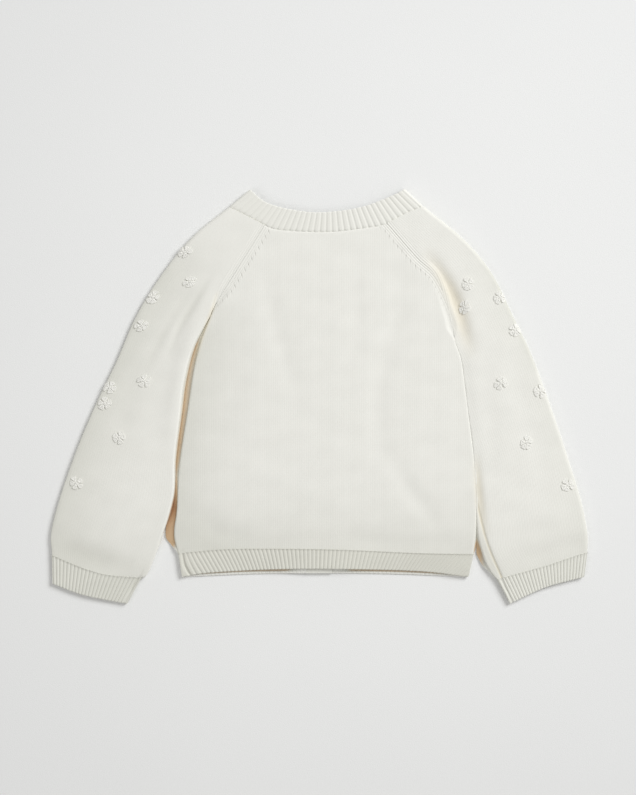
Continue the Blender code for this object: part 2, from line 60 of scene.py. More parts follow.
# Front edge: bands between the two fronts, and what they do to the back that lies on them
bandHalfWidth = 12.5
bandWall = 1.3
bandTop = 128.5
bandBottom = -168.3
bandEnd = {"drop": 1.6, "over": 9.0}
buttonholeFace = 1.7
buttonBandFace = buttonholeFace + bandWall + 0.1
frontWall = 1.5
placket = {
    "lift": 0.2, "slope": 30.0, "topFade": 15.0, "creasesHeld": 0.6, "sagHeld": 0.62, "sagSlope": 60.0,
}

sides = ("left", "right")
outward = {"left": -1, "right": 1}

# Outlines on the floor plan. Sides and sleeves run from the hem or cuff up.
armpit = {"left": (-103.5, 76), "right": (129, 52.5)}
bodySide = {
    "left": [
        (-134, -149.5), (-137.8, -137), (-138, -126), (-135.6, -107), (-133, -64), (-125.5, -15),
        (-119.5, 25), (-113, 52),
    ],
    "right": [
        (147, -150), (149, -128), (148.7, -100), (146.5, -58), (141, -14), (137.5, 14), (134.5, 34.5),
    ],
}
sleeveInner = {
    "left": [
        (-169, -172.5), (-162, -167), (-148, -130), (-138.5, -95), (-137, -60), (-132, -18),
        (-128, 14), (-119, 47),
    ],
    "right": [
        (169, -174), (159.8, -162.5), (154.3, -148.5), (150.7, -132), (149.7, -112), (149.4, -95),
        (147.3, -58), (141.8, -14), (138.3, 14), (135.3, 34.5),
    ],
}
sleeveOuter = {
    "left": [
        (-254, -151), (-254.5, -128), (-245, -92), (-229, -47), (-212, -7), (-192, 34.5), (-173.5, 77),
        (-148, 118), (-120, 152), (-86, 180),
    ],
    "right": [
        (255, -148.5), (255, -130), (249, -99), (237, -60), (223, -18), (202.5, 38), (184, 77),
        (164, 117), (138, 148.5), (99.5, 180.5),
    ],
}
raglanLine = {
    ("left", "back"): [(-98, 88), (-79, 119), (-66.5, 139)],
    ("right", "back"): [(123.5, 79), (111, 113), (92, 132)],
    ("left", "front"): [(-96, 98), (-86, 125)],
    ("right", "front"): [(118, 88), (104, 122)],
}
raglanTopX = {
    ("left", "back"): -52, ("right", "back"): 64, ("left", "front"): -74, ("right", "front"): 88.5,
}
raglanHeights = {
    "left": {"along": (0, 8, 18, 30, 55, 200), "height": (3.5, 4.3, 5.5, 6.5, 6.9, 7.0)},
    "right": {"along": (0, 14, 30, 55, 75, 200), "height": (5.7, 5.8, 6.1, 6.4, 6.9, 7.0)},
}
# Folds at the sides: 1 is round and less is squarer. Where sleeve and body lie apart, their lower
# layers still reach each other under the gap, and on the right the sleeve dips below the body's edge.
foldSquare = {"left": 0.5, "right": 0.6}
foldHeight = {
    "left": {"y": (-200, 100), "height": (3.5, 3.5)},
    "right": {"y": (-200, -132, -104, 100), "height": (3.5, 3.5, 5.7, 5.7)},
}
# How far the lower layers fill each gap at heights y: the body's share of its width and the sleeve's
tuck = {
    "most": 12.0, "height": 1.2, "from": 1.0, "deepAt": 4.0, "slope": 0.3,
    "left": {
        "y": (-150, -143, -134, -124, -112, -96),
        "share": [(0, 0.28, 0.72, 1, 0.85, 0.72), (0, 0, 0, 0, 0.15, 0.28)],
    },
    "right": {
        "y": (-172, -164, -154, -150, -140, -126),
        "share": [(0, 0, 0, 0, 0.4, 0.72), (0, 0.2, 0.5, 0.66, 0.6, 0.28)],
    },
}
sleeveDip = {"left": 0.0, "right": 0.8, "width": 7.0}
hemSeam = [(-134, -149.5), (-116, -147.5), (-76, -145), (10, -145.5), (92, -149), (147, -150)]
hemEdgeBack = [(-130.5, -172), (-104, -168), (-45, -164.8), (10, -164.3), (94, -166.5), (142, -172)]
hemEdgeFront = [(-130.5, -172), (-108, -171), (-60, -169.0), (0, -168.5), (70, -169.1), (142, -172)]
neckSeamBack = [
    (-86, 180), (-63, 168.5), (-45, 159.5), (-26, 157), (10, 156), (42, 159.5), (61, 163), (83, 174),
    (99.5, 180.5),
]
neckEdgeBack = [
    (-66, 197), (-48.5, 183.5), (-17, 176), (10, 175.2), (42.5, 180.5), (72, 192), (81.5, 197.5),
]
neckSeamFront = {
    "left": [(-12.5, 108.5), (-43, 118), (-61, 134), (-74, 153), (-81, 168), (-86, 180)],
    "right": [(12.5, 108.5), (56, 118), (75, 134), (88.5, 153), (95, 168), (99.5, 180.5)],
}
neckEdgeFront = {
    "left": [(-12.5, 128.5), (-31.5, 135), (-45, 147.5), (-55.5, 163.5), (-63, 181.5), (-66, 197)],
    "right": [(12.5, 128.5), (40.5, 135), (58.5, 147.5), (70, 163.5), (77.5, 181.5), (81.5, 197.5)],
}
cuffSeam = {
    "left": [(-169, -172.5), (-200, -170), (-220, -165), (-238, -158), (-254, -151)],
    "right": [(169, -174), (192, -167.5), (216, -161), (244, -151.5), (255, -148.5)],
}
cuffEdge = {
    "left": [(-182.5, -197.5), (-205, -193.5), (-229, -188), (-253.5, -178.5)],
    "right": [(181.5, -197.5), (202, -187.5), (221, -180), (252, -172)],
}


def ease(f):
    f = np.clip(f, 0, 1)
    return f * f * (3 - 2 * f)


def mix(a, b, f):
    return a + (b - a) * f


def mixed(a, b, f):
    return a + (b - a) * np.asarray(f, float)[..., None]  # between two places on the floor plan


class Line:
    # a smooth line through points on the floor plan, read by its fraction of length
    def __init__(self, points, perSpan=30):
        p = np.array(points, float)
        p = np.vstack([2 * p[0] - p[1], p, 2 * p[-1] - p[-2]])
        fine = []
        for a, b, c, d in zip(p, p[1:], p[2:], p[3:]):
            for i in range(perSpan):
                f = i / perSpan
                bend = 2 * a - 5 * b + 4 * c - d
                twist = 3 * b - a - 3 * c + d
                fine.append((2 * b + (c - a) * f + bend * f**2 + twist * f**3) / 2)
        fine.append(p[-2])
        self.points = np.array(fine)
        lengths = np.linalg.norm(np.diff(self.points, axis=0), axis=1)
        self.reach = np.concatenate([[0], np.cumsum(lengths)])
        self.length = self.reach[-1]

    def at(self, f):
        s = np.asarray(f, float) * self.length
        return np.stack([np.interp(s, self.reach, self.points[:, k]) for k in (0, 1)], axis=-1)

    def leftward(self, f):
        f = np.asarray(f, float)
        step = self.at(np.minimum(f + smallPart, 1)) - self.at(np.maximum(f - smallPart, 0))
        turned = np.stack([-step[..., 1], step[..., 0]], axis=-1)
        return turned / np.linalg.norm(turned, axis=-1, keepdims=True)

    def fractionAtX(self, x):
        xs = self.points[:, 0]
        order = 1 if xs[-1] > xs[0] else -1
        return np.interp(x * order, xs * order, self.reach) / self.length

    def nearest(self, x, y, spans=60):
        # distance to the line, more than 0 on its left, and the length along it
        way = self.at(np.linspace(0, 1, spans + 1))
        gap = np.full(np.shape(x), 1e9)
        along = np.zeros(np.shape(x))
        for i, (a, b) in enumerate(zip(way, way[1:])):
            step = b - a
            length = np.hypot(*step)
            f = np.clip(((x - a[0]) * step[0] + (y - a[1]) * step[1]) / length**2, 0, 1)
            offX = x - a[0] - f * step[0]
            offY = y - a[1] - f * step[1]
            away = np.hypot(offX, offY)
            closer = away < np.abs(gap)
            sign = np.where(step[0] * offY - step[1] * offX >= 0, 1, -1)
            gap = np.where(closer, away * sign, gap)
            along = np.where(closer, (i + f) * self.length / spans, along)
        return gap, along


def patch(left, right, bottom, top):
    corners = left(0.0), right(0.0), left(1.0), right(1.0)

    def at(u, v):
        bent = mixed(bottom(u), top(u), v) + mixed(left(v), right(v), u)
        return bent - mixed(mixed(corners[0], corners[1], u), mixed(corners[2], corners[3], u), v)

    return at


def softCrease(way, depth, width, shade=0, paintedGlow=0, even=False):
    return {"line": Line(way), "depth": depth, "width": width, "shade": shade, "paintedGlow": paintedGlow, "even": even}


# Soft creases in the upper layer: the way, the depth and the half width of each. A negative depth is a
# ridge, and an even crease keeps its strength almost to its ends. Two more numbers are painted light: a
# painted shade that greys the cloth along the crease, and a painted warm glow that tints it.
creases = [
    softCrease([(-103, 113), (-109, 105), (-120, 87), (-132, 67), (-143, 40)], 1.2, 4.0, shade=0.16),
    softCrease([(-121, 101), (-130, 88), (-143, 68), (-155, 47), (-165, 24)], 0.6, 4.5, shade=0.1),
    softCrease([(-103, 106), (-112, 84), (-123, 54), (-132, 22), (-138, -15), (-142, -50)], -1.5, 8.0),
    softCrease(
        [(104, 133), (117, 114), (127, 96), (134, 76), (139, 58), (143, 44)],
        2.6, 6.5, shade=0.04, paintedGlow=0.44,
    ),
    softCrease([(-97, 98), (-103.5, 77), (-112, 54), (-119, 28)], 0.0, 1.8, paintedGlow=0.45),
    softCrease(
        [(149.6, -100), (154.7, -121.4), (158.5, -135.7), (164, -151),
         (170.3, -165), (176.5, -180), (184, -199)],
        0.8, 1.0, shade=0.38, paintedGlow=0.35, even=True,
    ),
    softCrease([(149.5, -58), (151, -82), (154, -108), (158, -130)], 0.8, 4.0, shade=0.14, paintedGlow=0.34),
    softCrease([(152, -118), (155, -138), (161, -154), (170, -172)], 0.3, 5.0, shade=0.16, paintedGlow=0.06),
    softCrease([(-168, -166), (-175, -178), (-185, -192)], 1.3, 1.1),
    softCrease([(-130.3, -146), (-128.4, -159.4), (-123.2, -169), (-117, -173)], 1.5, 1.1),
    softCrease([(-52, 116), (-42, 72), (-30, 30), (-10, -22)], 0.8, 10),
    softCrease([(36, 124), (36, 82), (34, 38)], 0.4, 7),
    softCrease([(73, 134), (74, 92), (66, 46), (56, 2), (58, -42), (72, -72)], 1.0, 11),
    softCrease([(68, -60), (83, -84), (100, -107), (118, -130)], 0.9, 9),
    softCrease([(-70, 30), (-88, -20), (-96, -70)], 0.6, 14),
    softCrease([(-112, -118), (-92, -132), (-62, -138)], 0.8, 10),
    softCrease([(-128, -108), (-114, -130), (-92, -143), (-62, -148)], 0.5, 18, shade=0.16),
    # painted shade along the right sleeve's outer fold, which darkens the edge that faces the light
    softCrease(
        [(207, 26), (184, 77), (164, 117), (138, 148.5), (99.5, 180.5)],
        0.0, 3.0, shade=0.34, even=True,
    ),
    softCrease([(-60, -137), (0, -137), (70, -139), (138, -141)], 0.7, 8),
    softCrease([(158, 30), (162, -30), (164, -90)], 0.5, 11),
    softCrease([(-252, -140), (-215, -154), (-176, -163)], 1.1, 11, shade=0.18),
    softCrease([(178, -160), (215, -150), (252, -138)], 1.0, 9),
    softCrease([(-170, 30), (-188, -20), (-200, -80)], 0.5, 10),
    softCrease([(186, 30), (200, -30), (214, -90)], 0.5, 11),
]
creaseFade = {"ends": 0.06, "evenPower": 0.3}

# The cloth lies lower towards its free edges: depth at the edge and how far in it starts
sags = {
    "body": [
        {"line": Line(bodySide["left"]), "depth": 2.5, "reach": 74.0},
        {"line": Line(bodySide["right"]), "depth": 0.5, "reach": 26.0},
        {"line": Line(hemEdgeBack), "depth": 3.0, "reach": 100.0},
    ],
    "left": [
        {"line": Line(sleeveOuter["left"][:-2]), "depth": 2.8, "reach": 72.0},
        {"line": Line(cuffEdge["left"]), "depth": 3.1, "reach": 110.0},
    ],
    "right": [
        {"line": Line(sleeveOuter["right"][:-2]), "depth": 1.4, "reach": 40.0},
        {"line": Line(cuffEdge["right"]), "depth": 2.9, "reach": 105.0},
    ],
}
mostSag = 3.4
unevenWaves = {"seed": 5, "count": 14, "shortest": 16, "longest": 60, "rise": 0.045}


def sagDepth(part, x, y):
    level = 1 + 0 * x
    for sag in sags[part]:
        away, _ = sag["line"].nearest(x, y, nearSpans)
        near = 1 - np.clip(np.abs(away) / sag["reach"], 0, 1)
        level = level * (1 - sag["depth"] / mostSag * near**2)
    return mostSag * (1 - level)


def creaseSum(x, y, quality="depth"):
    # the depth, painted shade or painted warm glow that all creases together give each place
    total = 0 * x
    for crease in creases:
        if not crease[quality]:
            continue
        gap, along = crease["line"].nearest(x, y, nearSpans)
        share = along / crease["line"].length
        fade = np.sin(np.pi * mix(creaseFade["ends"], 1 - creaseFade["ends"], share))
        fade = fade ** (creaseFade["evenPower"] if crease["even"] else 1)
        total = total + crease[quality] * fade * np.exp(-((gap / crease["width"]) ** 2))
    return total


def unevenness(x, y):
    drawn = np.random.default_rng(unevenWaves["seed"])
    rise = 0
    for _ in range(unevenWaves["count"]):
        turn, phase = drawn.uniform(0, 2 * math.pi, 2)
        length = drawn.uniform(unevenWaves["shortest"], unevenWaves["longest"])
        way = x * math.cos(turn) + y * math.sin(turn)
        rise = rise + np.sin(2 * math.pi * way / length + phase)
    return rise * unevenWaves["rise"]


def besideBands(x, slope):
    # from 1 over the bands to 0 where the slope beside them ends
    return ease((bandHalfWidth + slope - np.abs(x)) / slope)


def upperHeight(x, y, part="body"):
    belowTop = ease((bandTop + placket["topFade"] - y) / placket["topFade"])
    lifted = besideBands(x, placket["slope"]) * belowTop
    relief = unevenness(x, y) - creaseSum(x, y) * (1 - lifted * placket["creasesHeld"])
    held = 1 - placket["sagHeld"] * besideBands(x, placket["sagSlope"]) * (part == "body")
    return upperFace + placket["lift"] * lifted + relief - sagDepth(part, x, y) * held


def endDrop(y):
    return bandEnd["drop"] * (1 - ease((y - bandBottom) / bandEnd["over"]))


def frontHeight(x, y=0):
    bandFace = np.where(x > 0, buttonholeFace, buttonBandFace)
    rise = np.maximum(bandFace + bandWall - frontWall - endDrop(y), 0)
    return rise * besideBands(x, placket["slope"])


def edgeProfile(f, valley, reach, square):
    # distance from the seam and share of the rise, over a fold or up out of a wide valley
    angle = f * math.pi / 2
    rise = np.sin(angle) ** square
    around = foldRadius * (1 - np.maximum(np.cos(angle), 0) ** square)
    distance = around + reach * ease(rise / tuck["slope"])
    slope = ease((f - valleyFloor) / (1 - valleyFloor))
    return mix(distance, valleyWidth * f, valley), mix(rise, slope, valley)


def neckSeam(side, face):
    return Line(neckSeamBack if face == "back" else neckSeamFront[side])


class Raglan:
    def __init__(self, side, face):
        neck = neckSeam(side, face)
        top = neck.at(neck.fractionAtX(raglanTopX[side, face]))
        self.line = Line([armpit[side]] + raglanLine[side, face] + [tuple(top)])
        self.side = side
        self.face = face

    def turned(self, v):
        return ease(v * self.line.length / armpitLength[self.side])

    def height(self, v):
        along = v * self.line.length
        if self.face == "front":
            fold = foldHeight[self.side]["height"][-1] - seamGap
            return fold * (1 - ease(along / armpitLength[self.side]))
        heights = raglanHeights[self.side]
        return np.interp(along, heights["along"], heights["height"])

    def edge(self, v, toBody):
        v = np.asarray(v, float)
        turned = self.turned(v)
        across = np.array([-outward[self.side], 0.0])
        square = self.line.leftward(v) * outward[self.side]
        direction = mixed(across, square, turned)
        direction = direction / np.linalg.norm(direction, axis=-1, keepdims=True)
        return self.line.at(v) + direction * seamGap / 2 * (1 if toBody else -1)


raglans = {seam: Raglan(*seam) for seam in raglanLine}


def splitAt(lower, upper):
    def at(v):
        v = np.asarray(v, float)
        low = lower(np.clip(v / armpitAt, 0, 1))
        high = upper(np.clip((v - armpitAt) / (1 - armpitAt), 0, 1))
        return np.where((v <= armpitAt)[..., None], low, high)

    return at


# The body's edge and the sleeve's, up to the armpit
sideLines = {
    side: [Line(points[side] + [armpit[side]]) for points in (bodySide, sleeveInner)] for side in sides
}


def tuckAt(side, number, y):
    # how far the lower layer of body or sleeve reaches into the gap between them
    body, sleeve = (np.interp(y, line.points[:, 1], line.points[:, 0]) for line in sideLines[side])
    reach = np.clip(np.abs(sleeve - body) - seamGap, 0, tuck["most"])
    return reach * np.interp(y, tuck[side]["y"], tuck[side]["share"][number])


def sideEdge(side, number):
    # number 0 is the body's edge, which reaches outward, and 1 the sleeve's, which reaches inward
    def at(f):
        spot = sideLines[side][number].at(f)
        reach = tuckAt(side, number, spot[..., 1]) - seamGap / 2
        spot[..., 0] += outward[side] * reach * (1 - 2 * number)
        return spot

    return at


def bodyEdge(side, face):
    raglan = raglans[side, face]
    return splitAt(sideEdge(side, 0), lambda f: raglan.edge(f, True))


def seamState(side, face, number, v):
    # the seam's height, its openness as a valley, the lower layer's reach and the fold's squareness
    raglan = raglans[side, face]
    low = v <= armpitAt
    f = np.clip((v - armpitAt) / (1 - armpitAt), 0, 1)
    y = sideLines[side][number].at(np.clip(v / armpitAt, 0, 1))[..., 1]
    reaches = [tuckAt(side, part, y) for part in (0, 1)]
    reach = reaches[number]
    fold = np.interp(y, foldHeight[side]["y"], foldHeight[side]["height"])
    fold = mix(fold, tuck["height"], np.clip((sum(reaches) - tuck["from"]) / tuck["deepAt"], 0, 1))
    fold = fold + seamGap / 2 * (1 if face == "back" else -1)
    reach = np.where(low & (face == "back"), reach, 0.0)
    height = np.where(low, fold, raglan.height(f))
    return height, np.where(low, 0.0, raglan.turned(f)), reach, foldSquare[side]


def bodyPlace(area, leftState, rightState, level):
    # column 0 to 1 is the left edge, 1 to 2 the middle and 2 to 3 the right edge
    def place(c, v):
        width = np.linalg.norm(area(np.ones_like(c), v) - area(np.zeros_like(c), v), axis=-1)
        insets, heights = [], []
        for f, state in ((np.minimum(c, 1), leftState), (np.minimum(3 - c, 1), rightState)):
            if state is None:
                insets.append(0)
                continue
            seamHeight, *shape = state(v)
            distance, rise = edgeProfile(f, *shape)
            insets.append(distance / width)
            heights.append((seamHeight, rise))
        u = mix(insets[0], 1 - insets[1], np.clip(c - 1, 0, 1))
        spot = area(u, v)
        x, y = spot[..., 0], spot[..., 1]
        z = level(x, y)
        for seamHeight, rise in heights:
            z = mix(seamHeight, z, rise)
        return np.stack([x, y, z], axis=-1)

    return place


def foldState(side, lift):
    # as seamState, for an edge that is a plain fold
    return lambda v: (foldMiddle + lift, 0.0, 0.0, foldSquare[side])


def alongX(line, x0, x1, shift):
    f0, f1 = line.fractionAtX(x0), line.fractionAtX(x1)
    return lambda u: line.at(mix(f0, f1, u)) + np.array([0, shift])


tubeEndFade = 0.04


class Tube:
    # a sleeve or cuff lying flat: column 0 to 2 over the top, to 4 round the fold, to 6 underneath
    def __init__(self, side, upper, lower, outer, upperState, lowerState):
        self.faces = (upper, upperState), (lower, lowerState)
        self.side = side
        self.upper = upper
        self.outer = outer

    def topHeight(self, x, y):
        away, _ = sideLines[self.side][1].nearest(x, y, nearSpans)
        dip = sleeveDip[self.side] * np.exp(-((away / sleeveDip["width"]) ** 2))
        return upperHeight(x, y, self.side) - dip

    def face(self, number, far, v):
        area, state = self.faces[number]
        width = np.linalg.norm(area(np.ones_like(v), v) - area(np.zeros_like(v), v), axis=-1)
        seamHeight, *shape = state(v)
        inner, rise = edgeProfile(np.minimum(far, 1), *shape)
        angle = math.pi / 2 * (1 - np.clip(far - 2, 0, 1))
        outer = foldRadius * (1 - np.cos(angle))
        reach = mix(inner, width - outer, np.clip(far - 1, 0, 1))
        square = self.outer(v, outer) - area(1 - outer / width, v)
        away = ease(far - 1) * ease(v / tubeEndFade) * ease((1 - v) / tubeEndFade)
        spot = area(reach / width, v) + square * away[..., None]
        x, y = spot[..., 0], spot[..., 1]
        if number == 0:
            level = foldMiddle + (self.topHeight(x, y) - foldMiddle) * np.sin(angle)
        else:
            level = foldMiddle - foldRadius * np.sin(angle)
        return np.stack([x, y, mix(seamHeight, level, rise)], axis=-1)

    def place(self, c, v):
        onTop = c < 3
        upper = self.face(0, np.minimum(c, 3), v)
        lower = self.face(1, np.minimum(6 - c, 3), v)
        return np.where(onTop[..., None], upper, lower)


def outerEdge(line, side):
    def at(v, inward=0):
        reach = np.asarray(inward, float)[..., None]
        return line.at(v) + line.leftward(v) * outward[side] * reach

    return at


def sleeveTube(side):
    inner = sideEdge(side, 1)
    outer = outerEdge(Line(sleeveOuter[side]), side)
    bottom = alongX(Line(cuffSeam[side]), inner(0.0)[0], outer(0)[0], seamGap)
    areas, states = [], []
    for face in ("back", "front"):
        raglan = raglans[side, face]
        edge = splitAt(inner, lambda f, r=raglan: r.edge(f, False))
        neck = neckSeam(side, face)
        top = alongX(neck, edge(1)[0], outer(1)[0], -seamGap)
        areas.append(patch(edge, outer, bottom, top))
        states.append(lambda v, face=face: seamState(side, face, 1, v))
    return Tube(side, areas[0], areas[1], outer, states[0], states[1])


def cuffTube(side):
    out = outward[side]
    lines = Line(cuffEdge[side]), Line(cuffSeam[side])
    bottom, top = (alongX(line, line.at(0)[0] + out * bodyInset, line.at(1)[0], 0) for line in lines)
    left = lambda v: mixed(bottom(0), top(0), v)
    right = lambda v: mixed(bottom(1), top(1), v)
    area = patch(left, right, bottom, top)
    states = [foldState(side, lift) for lift in (seamGap / 2, -seamGap / 2)]

    def outer(v, inward=0):
        span = np.linalg.norm(right(v) - left(v), axis=-1)
        return mixed(right(v), left(v), inward / span)

    return Tube(side, area, area, outer, *states)


# Materials
class Value:
    # a socket that Python arithmetic adds Math nodes to
    def __init__(self, look, socket):
        self.look = look
        self.socket = socket

    def join(self, operation, first, second):
        return self.look.node("ShaderNodeMath", {"operation": operation}, {0: first, 1: second})

    def __add__(self, other):
        return self.join("ADD", self, other)

    def __radd__(self, other):
        return self.join("ADD", other, self)

    def __sub__(self, other):
        return self.join("SUBTRACT", self, other)

    def __rsub__(self, other):
        return self.join("SUBTRACT", other, self)

    def __mul__(self, other):
        return self.join("MULTIPLY", self, other)

    def __rmul__(self, other):
        return self.join("MULTIPLY", other, self)

    def __truediv__(self, other):
        return self.join("DIVIDE", self, other)

    def __rtruediv__(self, other):
        return self.join("DIVIDE", other, self)

    def __mod__(self, other):
        return self.join("FLOORED_MODULO", self, other)

    def __rmod__(self, other):
        return self.join("FLOORED_MODULO", other, self)

    def __lt__(self, other):
        return self.join("LESS_THAN", self, other)

    def __gt__(self, other):
        return self.join("GREATER_THAN", self, other)

    def __abs__(self):
        return self.join("ABSOLUTE", self, 0)

    def above(self, least):
        return self.join("MAXIMUM", self, least)


class Look:
    # a material and its nodes; fixed values sit on the surface's own sockets
    def __init__(self, name, fixed):
        self.material = bpy.data.materials.new(name)
        self.material.use_nodes = True
        self.nodes = self.material.node_tree.nodes
        self.links = self.material.node_tree.links
        self.surface = self.nodes["Principled BSDF"]
        for socket, value in fixed.items():
            self.surface.inputs[socket].default_value = value

    def node(self, kind, settings=None, inputs=None, output=0):
        made = self.nodes.new(kind)
        for name, value in (settings or {}).items():
            setattr(made, name, value)
        for name, value in (inputs or {}).items():
            self.feed(made.inputs[name], value)
        return Value(self, made.outputs[output])

    def feed(self, socket, value):
        if isinstance(value, Value):
            self.links.new(value.socket, socket)
        else:
            socket.default_value = value

    def set(self, socket, value):
        self.feed(self.surface.inputs[socket], value)

    def measured(self, name):
        # the three numbers that the mesh carries at each point
        vector = self.node("ShaderNodeAttribute", {"attribute_name": name}, output="Vector")
        return [self.node("ShaderNodeSeparateXYZ", {}, {0: vector}, output=k) for k in (0, 1, 2)]

    def noise(self, scale, detail=2.0, roughness=0.5):
        place = self.node("ShaderNodeTexCoord", {}, output="Object")
        inputs = {"Vector": place, "Scale": scale, "Detail": detail, "Roughness": roughness}
        return self.node("ShaderNodeTexNoise", {}, inputs, output="Fac")

    def blendColour(self, factor, first, second):
        settings = {"data_type": "RGBA"}
        return self.node("ShaderNodeMix", settings, {0: factor, 6: first, 7: second}, output=2)

    def bump(self, height):
        # the height is in millimetres, as all lengths here
        inputs = {"Height": height, "Distance": mm}
        self.set("Normal", self.node("ShaderNodeBump", {}, inputs, output="Normal"))


def zigzag(value):
    # 1 where the value is whole, falling to 0 halfway between, for nodes and for numbers
    return abs((value % 1.0) * 2 - 1)


knitFinish = {
    "surface": {
        "Roughness": 0.92, "Sheen Weight": 0.25, "Sheen Roughness": 0.5, "Specular IOR Level": 0.2,
    },
    # light and deep are the knit's own colours, and the blend to deep is its random mottle and also painted
    # shade. The hollow and deepest colours are painted shade in folds and gaps, and the glow colour is
    # painted warm light
    "light": (0.872, 0.867, 0.822, 1),
    "deep": (0.685, 0.685, 0.622, 1),
    "hollow": (0.62, 0.45, 0.28, 1),
    "deepestPaintedShade": (0.34, 0.16, 0.07, 1),
    "paintedGlowColour": (0.75, 0.65, 0.45, 1),
    "hollowFrom": 0.55,
    "hollowShade": 1.5,
    # stitches: slanting legs, fuzz and slow changes along the yarn; the stitch and furrow shades are
    # painted shade between the legs and between the wales
    "slant": 0.75,
    "coursePart": 0.5,
    "fuzzScale": 2600,
    "wearScale": 420,
    "cloudScale": 38,
    "stitchRise": 0.07,
    "waleRise": 0.042,
    "fuzzRise": 0.06,
    "stitchShade": 0.042,
    "furrowShade": 0.026,
    "wearShade": 0.12,
    "evenShade": 0.11,
    # raglan borders: the linked seam and the marks of the narrowing, sunk in the bump and darkened as
    # painted shade in their grooves and hollows
    "borderWales": 3,
    "seamWidth": 0.9,
    "seamRise": 0.15,
    "markAt": 6.6,
    "markSpacing": 6.1,
    "markLength": 2.6,
    "markWidth": 1.0,
    "markSlant": 0.8,
    "markRise": 0.4,
}


def stitchHeight(wale, course, finish):
    # two slanting legs of yarn in each wale, from 0 between them to 1 on top
    fromMiddle = zigzag(wale)
    leg = abs(fromMiddle * 2 - 1)
    rise = zigzag(course - fromMiddle * finish["slant"])
    return (1 - leg * leg * leg) * (1 - rise * rise * finish["coursePart"])


def shapingMarks(apart, along, finish):
    # a small hollow beside each stitch that was moved over to narrow the panel
    slanted = along + (apart - finish["markAt"]) * finish["markSlant"]
    away = abs((slanted / finish["markSpacing"] + 0.5) % 1.0 - 0.5) * finish["markSpacing"]
    across = abs(apart - finish["markAt"])
    return (1 - away / finish["markWidth"]).above(0) * (1 - across / finish["markLength"]).above(0)


def knitLook(name, ribbed):
    finish = knitFinish
    look = Look(name, finish["surface"])
    wale, course, hollow = look.measured("knit")
    seam = 0
    if not ribbed:
        apart, along, marked = look.measured("border")
        inBorder = apart < finish["borderWales"] * waleWidth
        wale = wale + (apart - wale) * inBorder
        course = course + (along - course) * inBorder
        wale = wale / waleWidth
        seam = (1 - apart / finish["seamWidth"]).above(0) * finish["seamRise"]
        seam = seam + shapingMarks(apart, along, finish) * marked * finish["markRise"]
    height = stitchHeight(wale, course / courseHeight, finish)
    furrow = zigzag(wale)
    fuzz = look.noise(finish["fuzzScale"])
    cloudy = look.noise(finish["cloudScale"], 3.0)
    wear = look.noise(finish["wearScale"])
    # painted shade between stitch legs, in the furrows between wales and in the seam and marks; wear and
    # cloud are mottle
    shade = (1 - height) * finish["stitchShade"] + furrow * finish["furrowShade"] + seam
    shade = shade + (wear - 0.5 + cloudy - 0.5) * finish["wearShade"] + finish["evenShade"]
    # painted shade in folds and gaps: greyer, then warm brown, then deepest brown, and a painted warm glow
    # in creases
    colour = look.blendColour(shade + hollow * finish["hollowShade"], finish["light"], finish["deep"])
    start = finish["hollowFrom"]
    colour = look.blendColour((hollow - start).above(0) / (1 - start), colour, finish["hollow"])
    colour = look.blendColour((hollow - 1).above(0), colour, finish["deepestPaintedShade"])
    look.set("Base Color", look.blendColour(look.measured("crease")[0], colour, finish["paintedGlowColour"]))
    rise = height * finish["stitchRise"] + fuzz * finish["fuzzRise"] - furrow * furrow * finish["waleRise"]
    look.bump(rise - seam)
    return look.material


yarnFinish = {
    "surface": {"Roughness": 0.85, "Sheen Weight": 0.3, "Sheen Roughness": 0.5},
    "light": (0.895, 0.89, 0.848, 1),
    "deep": (0.865, 0.855, 0.80, 1),
    "twistLength": 0.9,
    "twistShade": 0.3,
    "twistRise": 0.12,
    "fuzzScale": 3200,
    "fuzzShade": 0.2,
    "fuzzRise": 0.05,
}


def yarnLook():
    finish = yarnFinish
    look = Look("looped_yarn", finish["surface"])
    along, around, _ = look.measured("strand")
    twist = zigzag(along / finish["twistLength"] + around)
    fuzz = look.noise(finish["fuzzScale"])
    # painted shade in the grooves of the twist, where the bump is lowest; the fuzz is the yarn's own mottle
    shade = twist * finish["twistShade"] + (fuzz - 0.5) * finish["fuzzShade"]
    look.set("Base Color", look.blendColour(shade, finish["light"], finish["deep"]))
    look.bump((1 - twist * twist) * finish["twistRise"] + fuzz * finish["fuzzRise"])
    return look.material


resinFinish = {
    "surface": {"Specular IOR Level": 0.5, "Coat Weight": 0.15, "Coat Roughness": 0.2},
    "light": (0.82, 0.80, 0.72, 1),
    "deep": (0.72, 0.69, 0.60, 1),
    "cloudScale": 160,
    "streakScale": 900,
    "roughness": 0.28,
    "streakRoughness": 0.14,
    "streakRise": 0.02,
}


def buttonLook():
    finish = resinFinish
    look = Look("cream_resin", finish["surface"])
    cloudy = look.noise(finish["cloudScale"], 4.0, 0.6)
    streak = look.noise(finish["streakScale"], 1.0)
    look.set("Base Color", look.blendColour(cloudy, finish["light"], finish["deep"]))
    look.set("Roughness", finish["roughness"] + streak * finish["streakRoughness"])
    look.bump(streak * finish["streakRise"])
    return look.material


floorFinish = {
    "surface": {"Roughness": 0.95, "Specular IOR Level": 0.1},
    "light": (0.87, 0.875, 0.87, 1),
    "deep": (0.78, 0.785, 0.785, 1),
    "weaveScale": 900,
    "cloudScale": 6,
    "weaveShade": 0.2,
    "cloudShade": 0.2,
    "weaveRise": 0.15,
    # painted shade for light falling off: metres from the middle where the floor starts to darken, and how
    # fast
    "evenTo": 0.22,
    "paintedFalloff": 2.0,
}


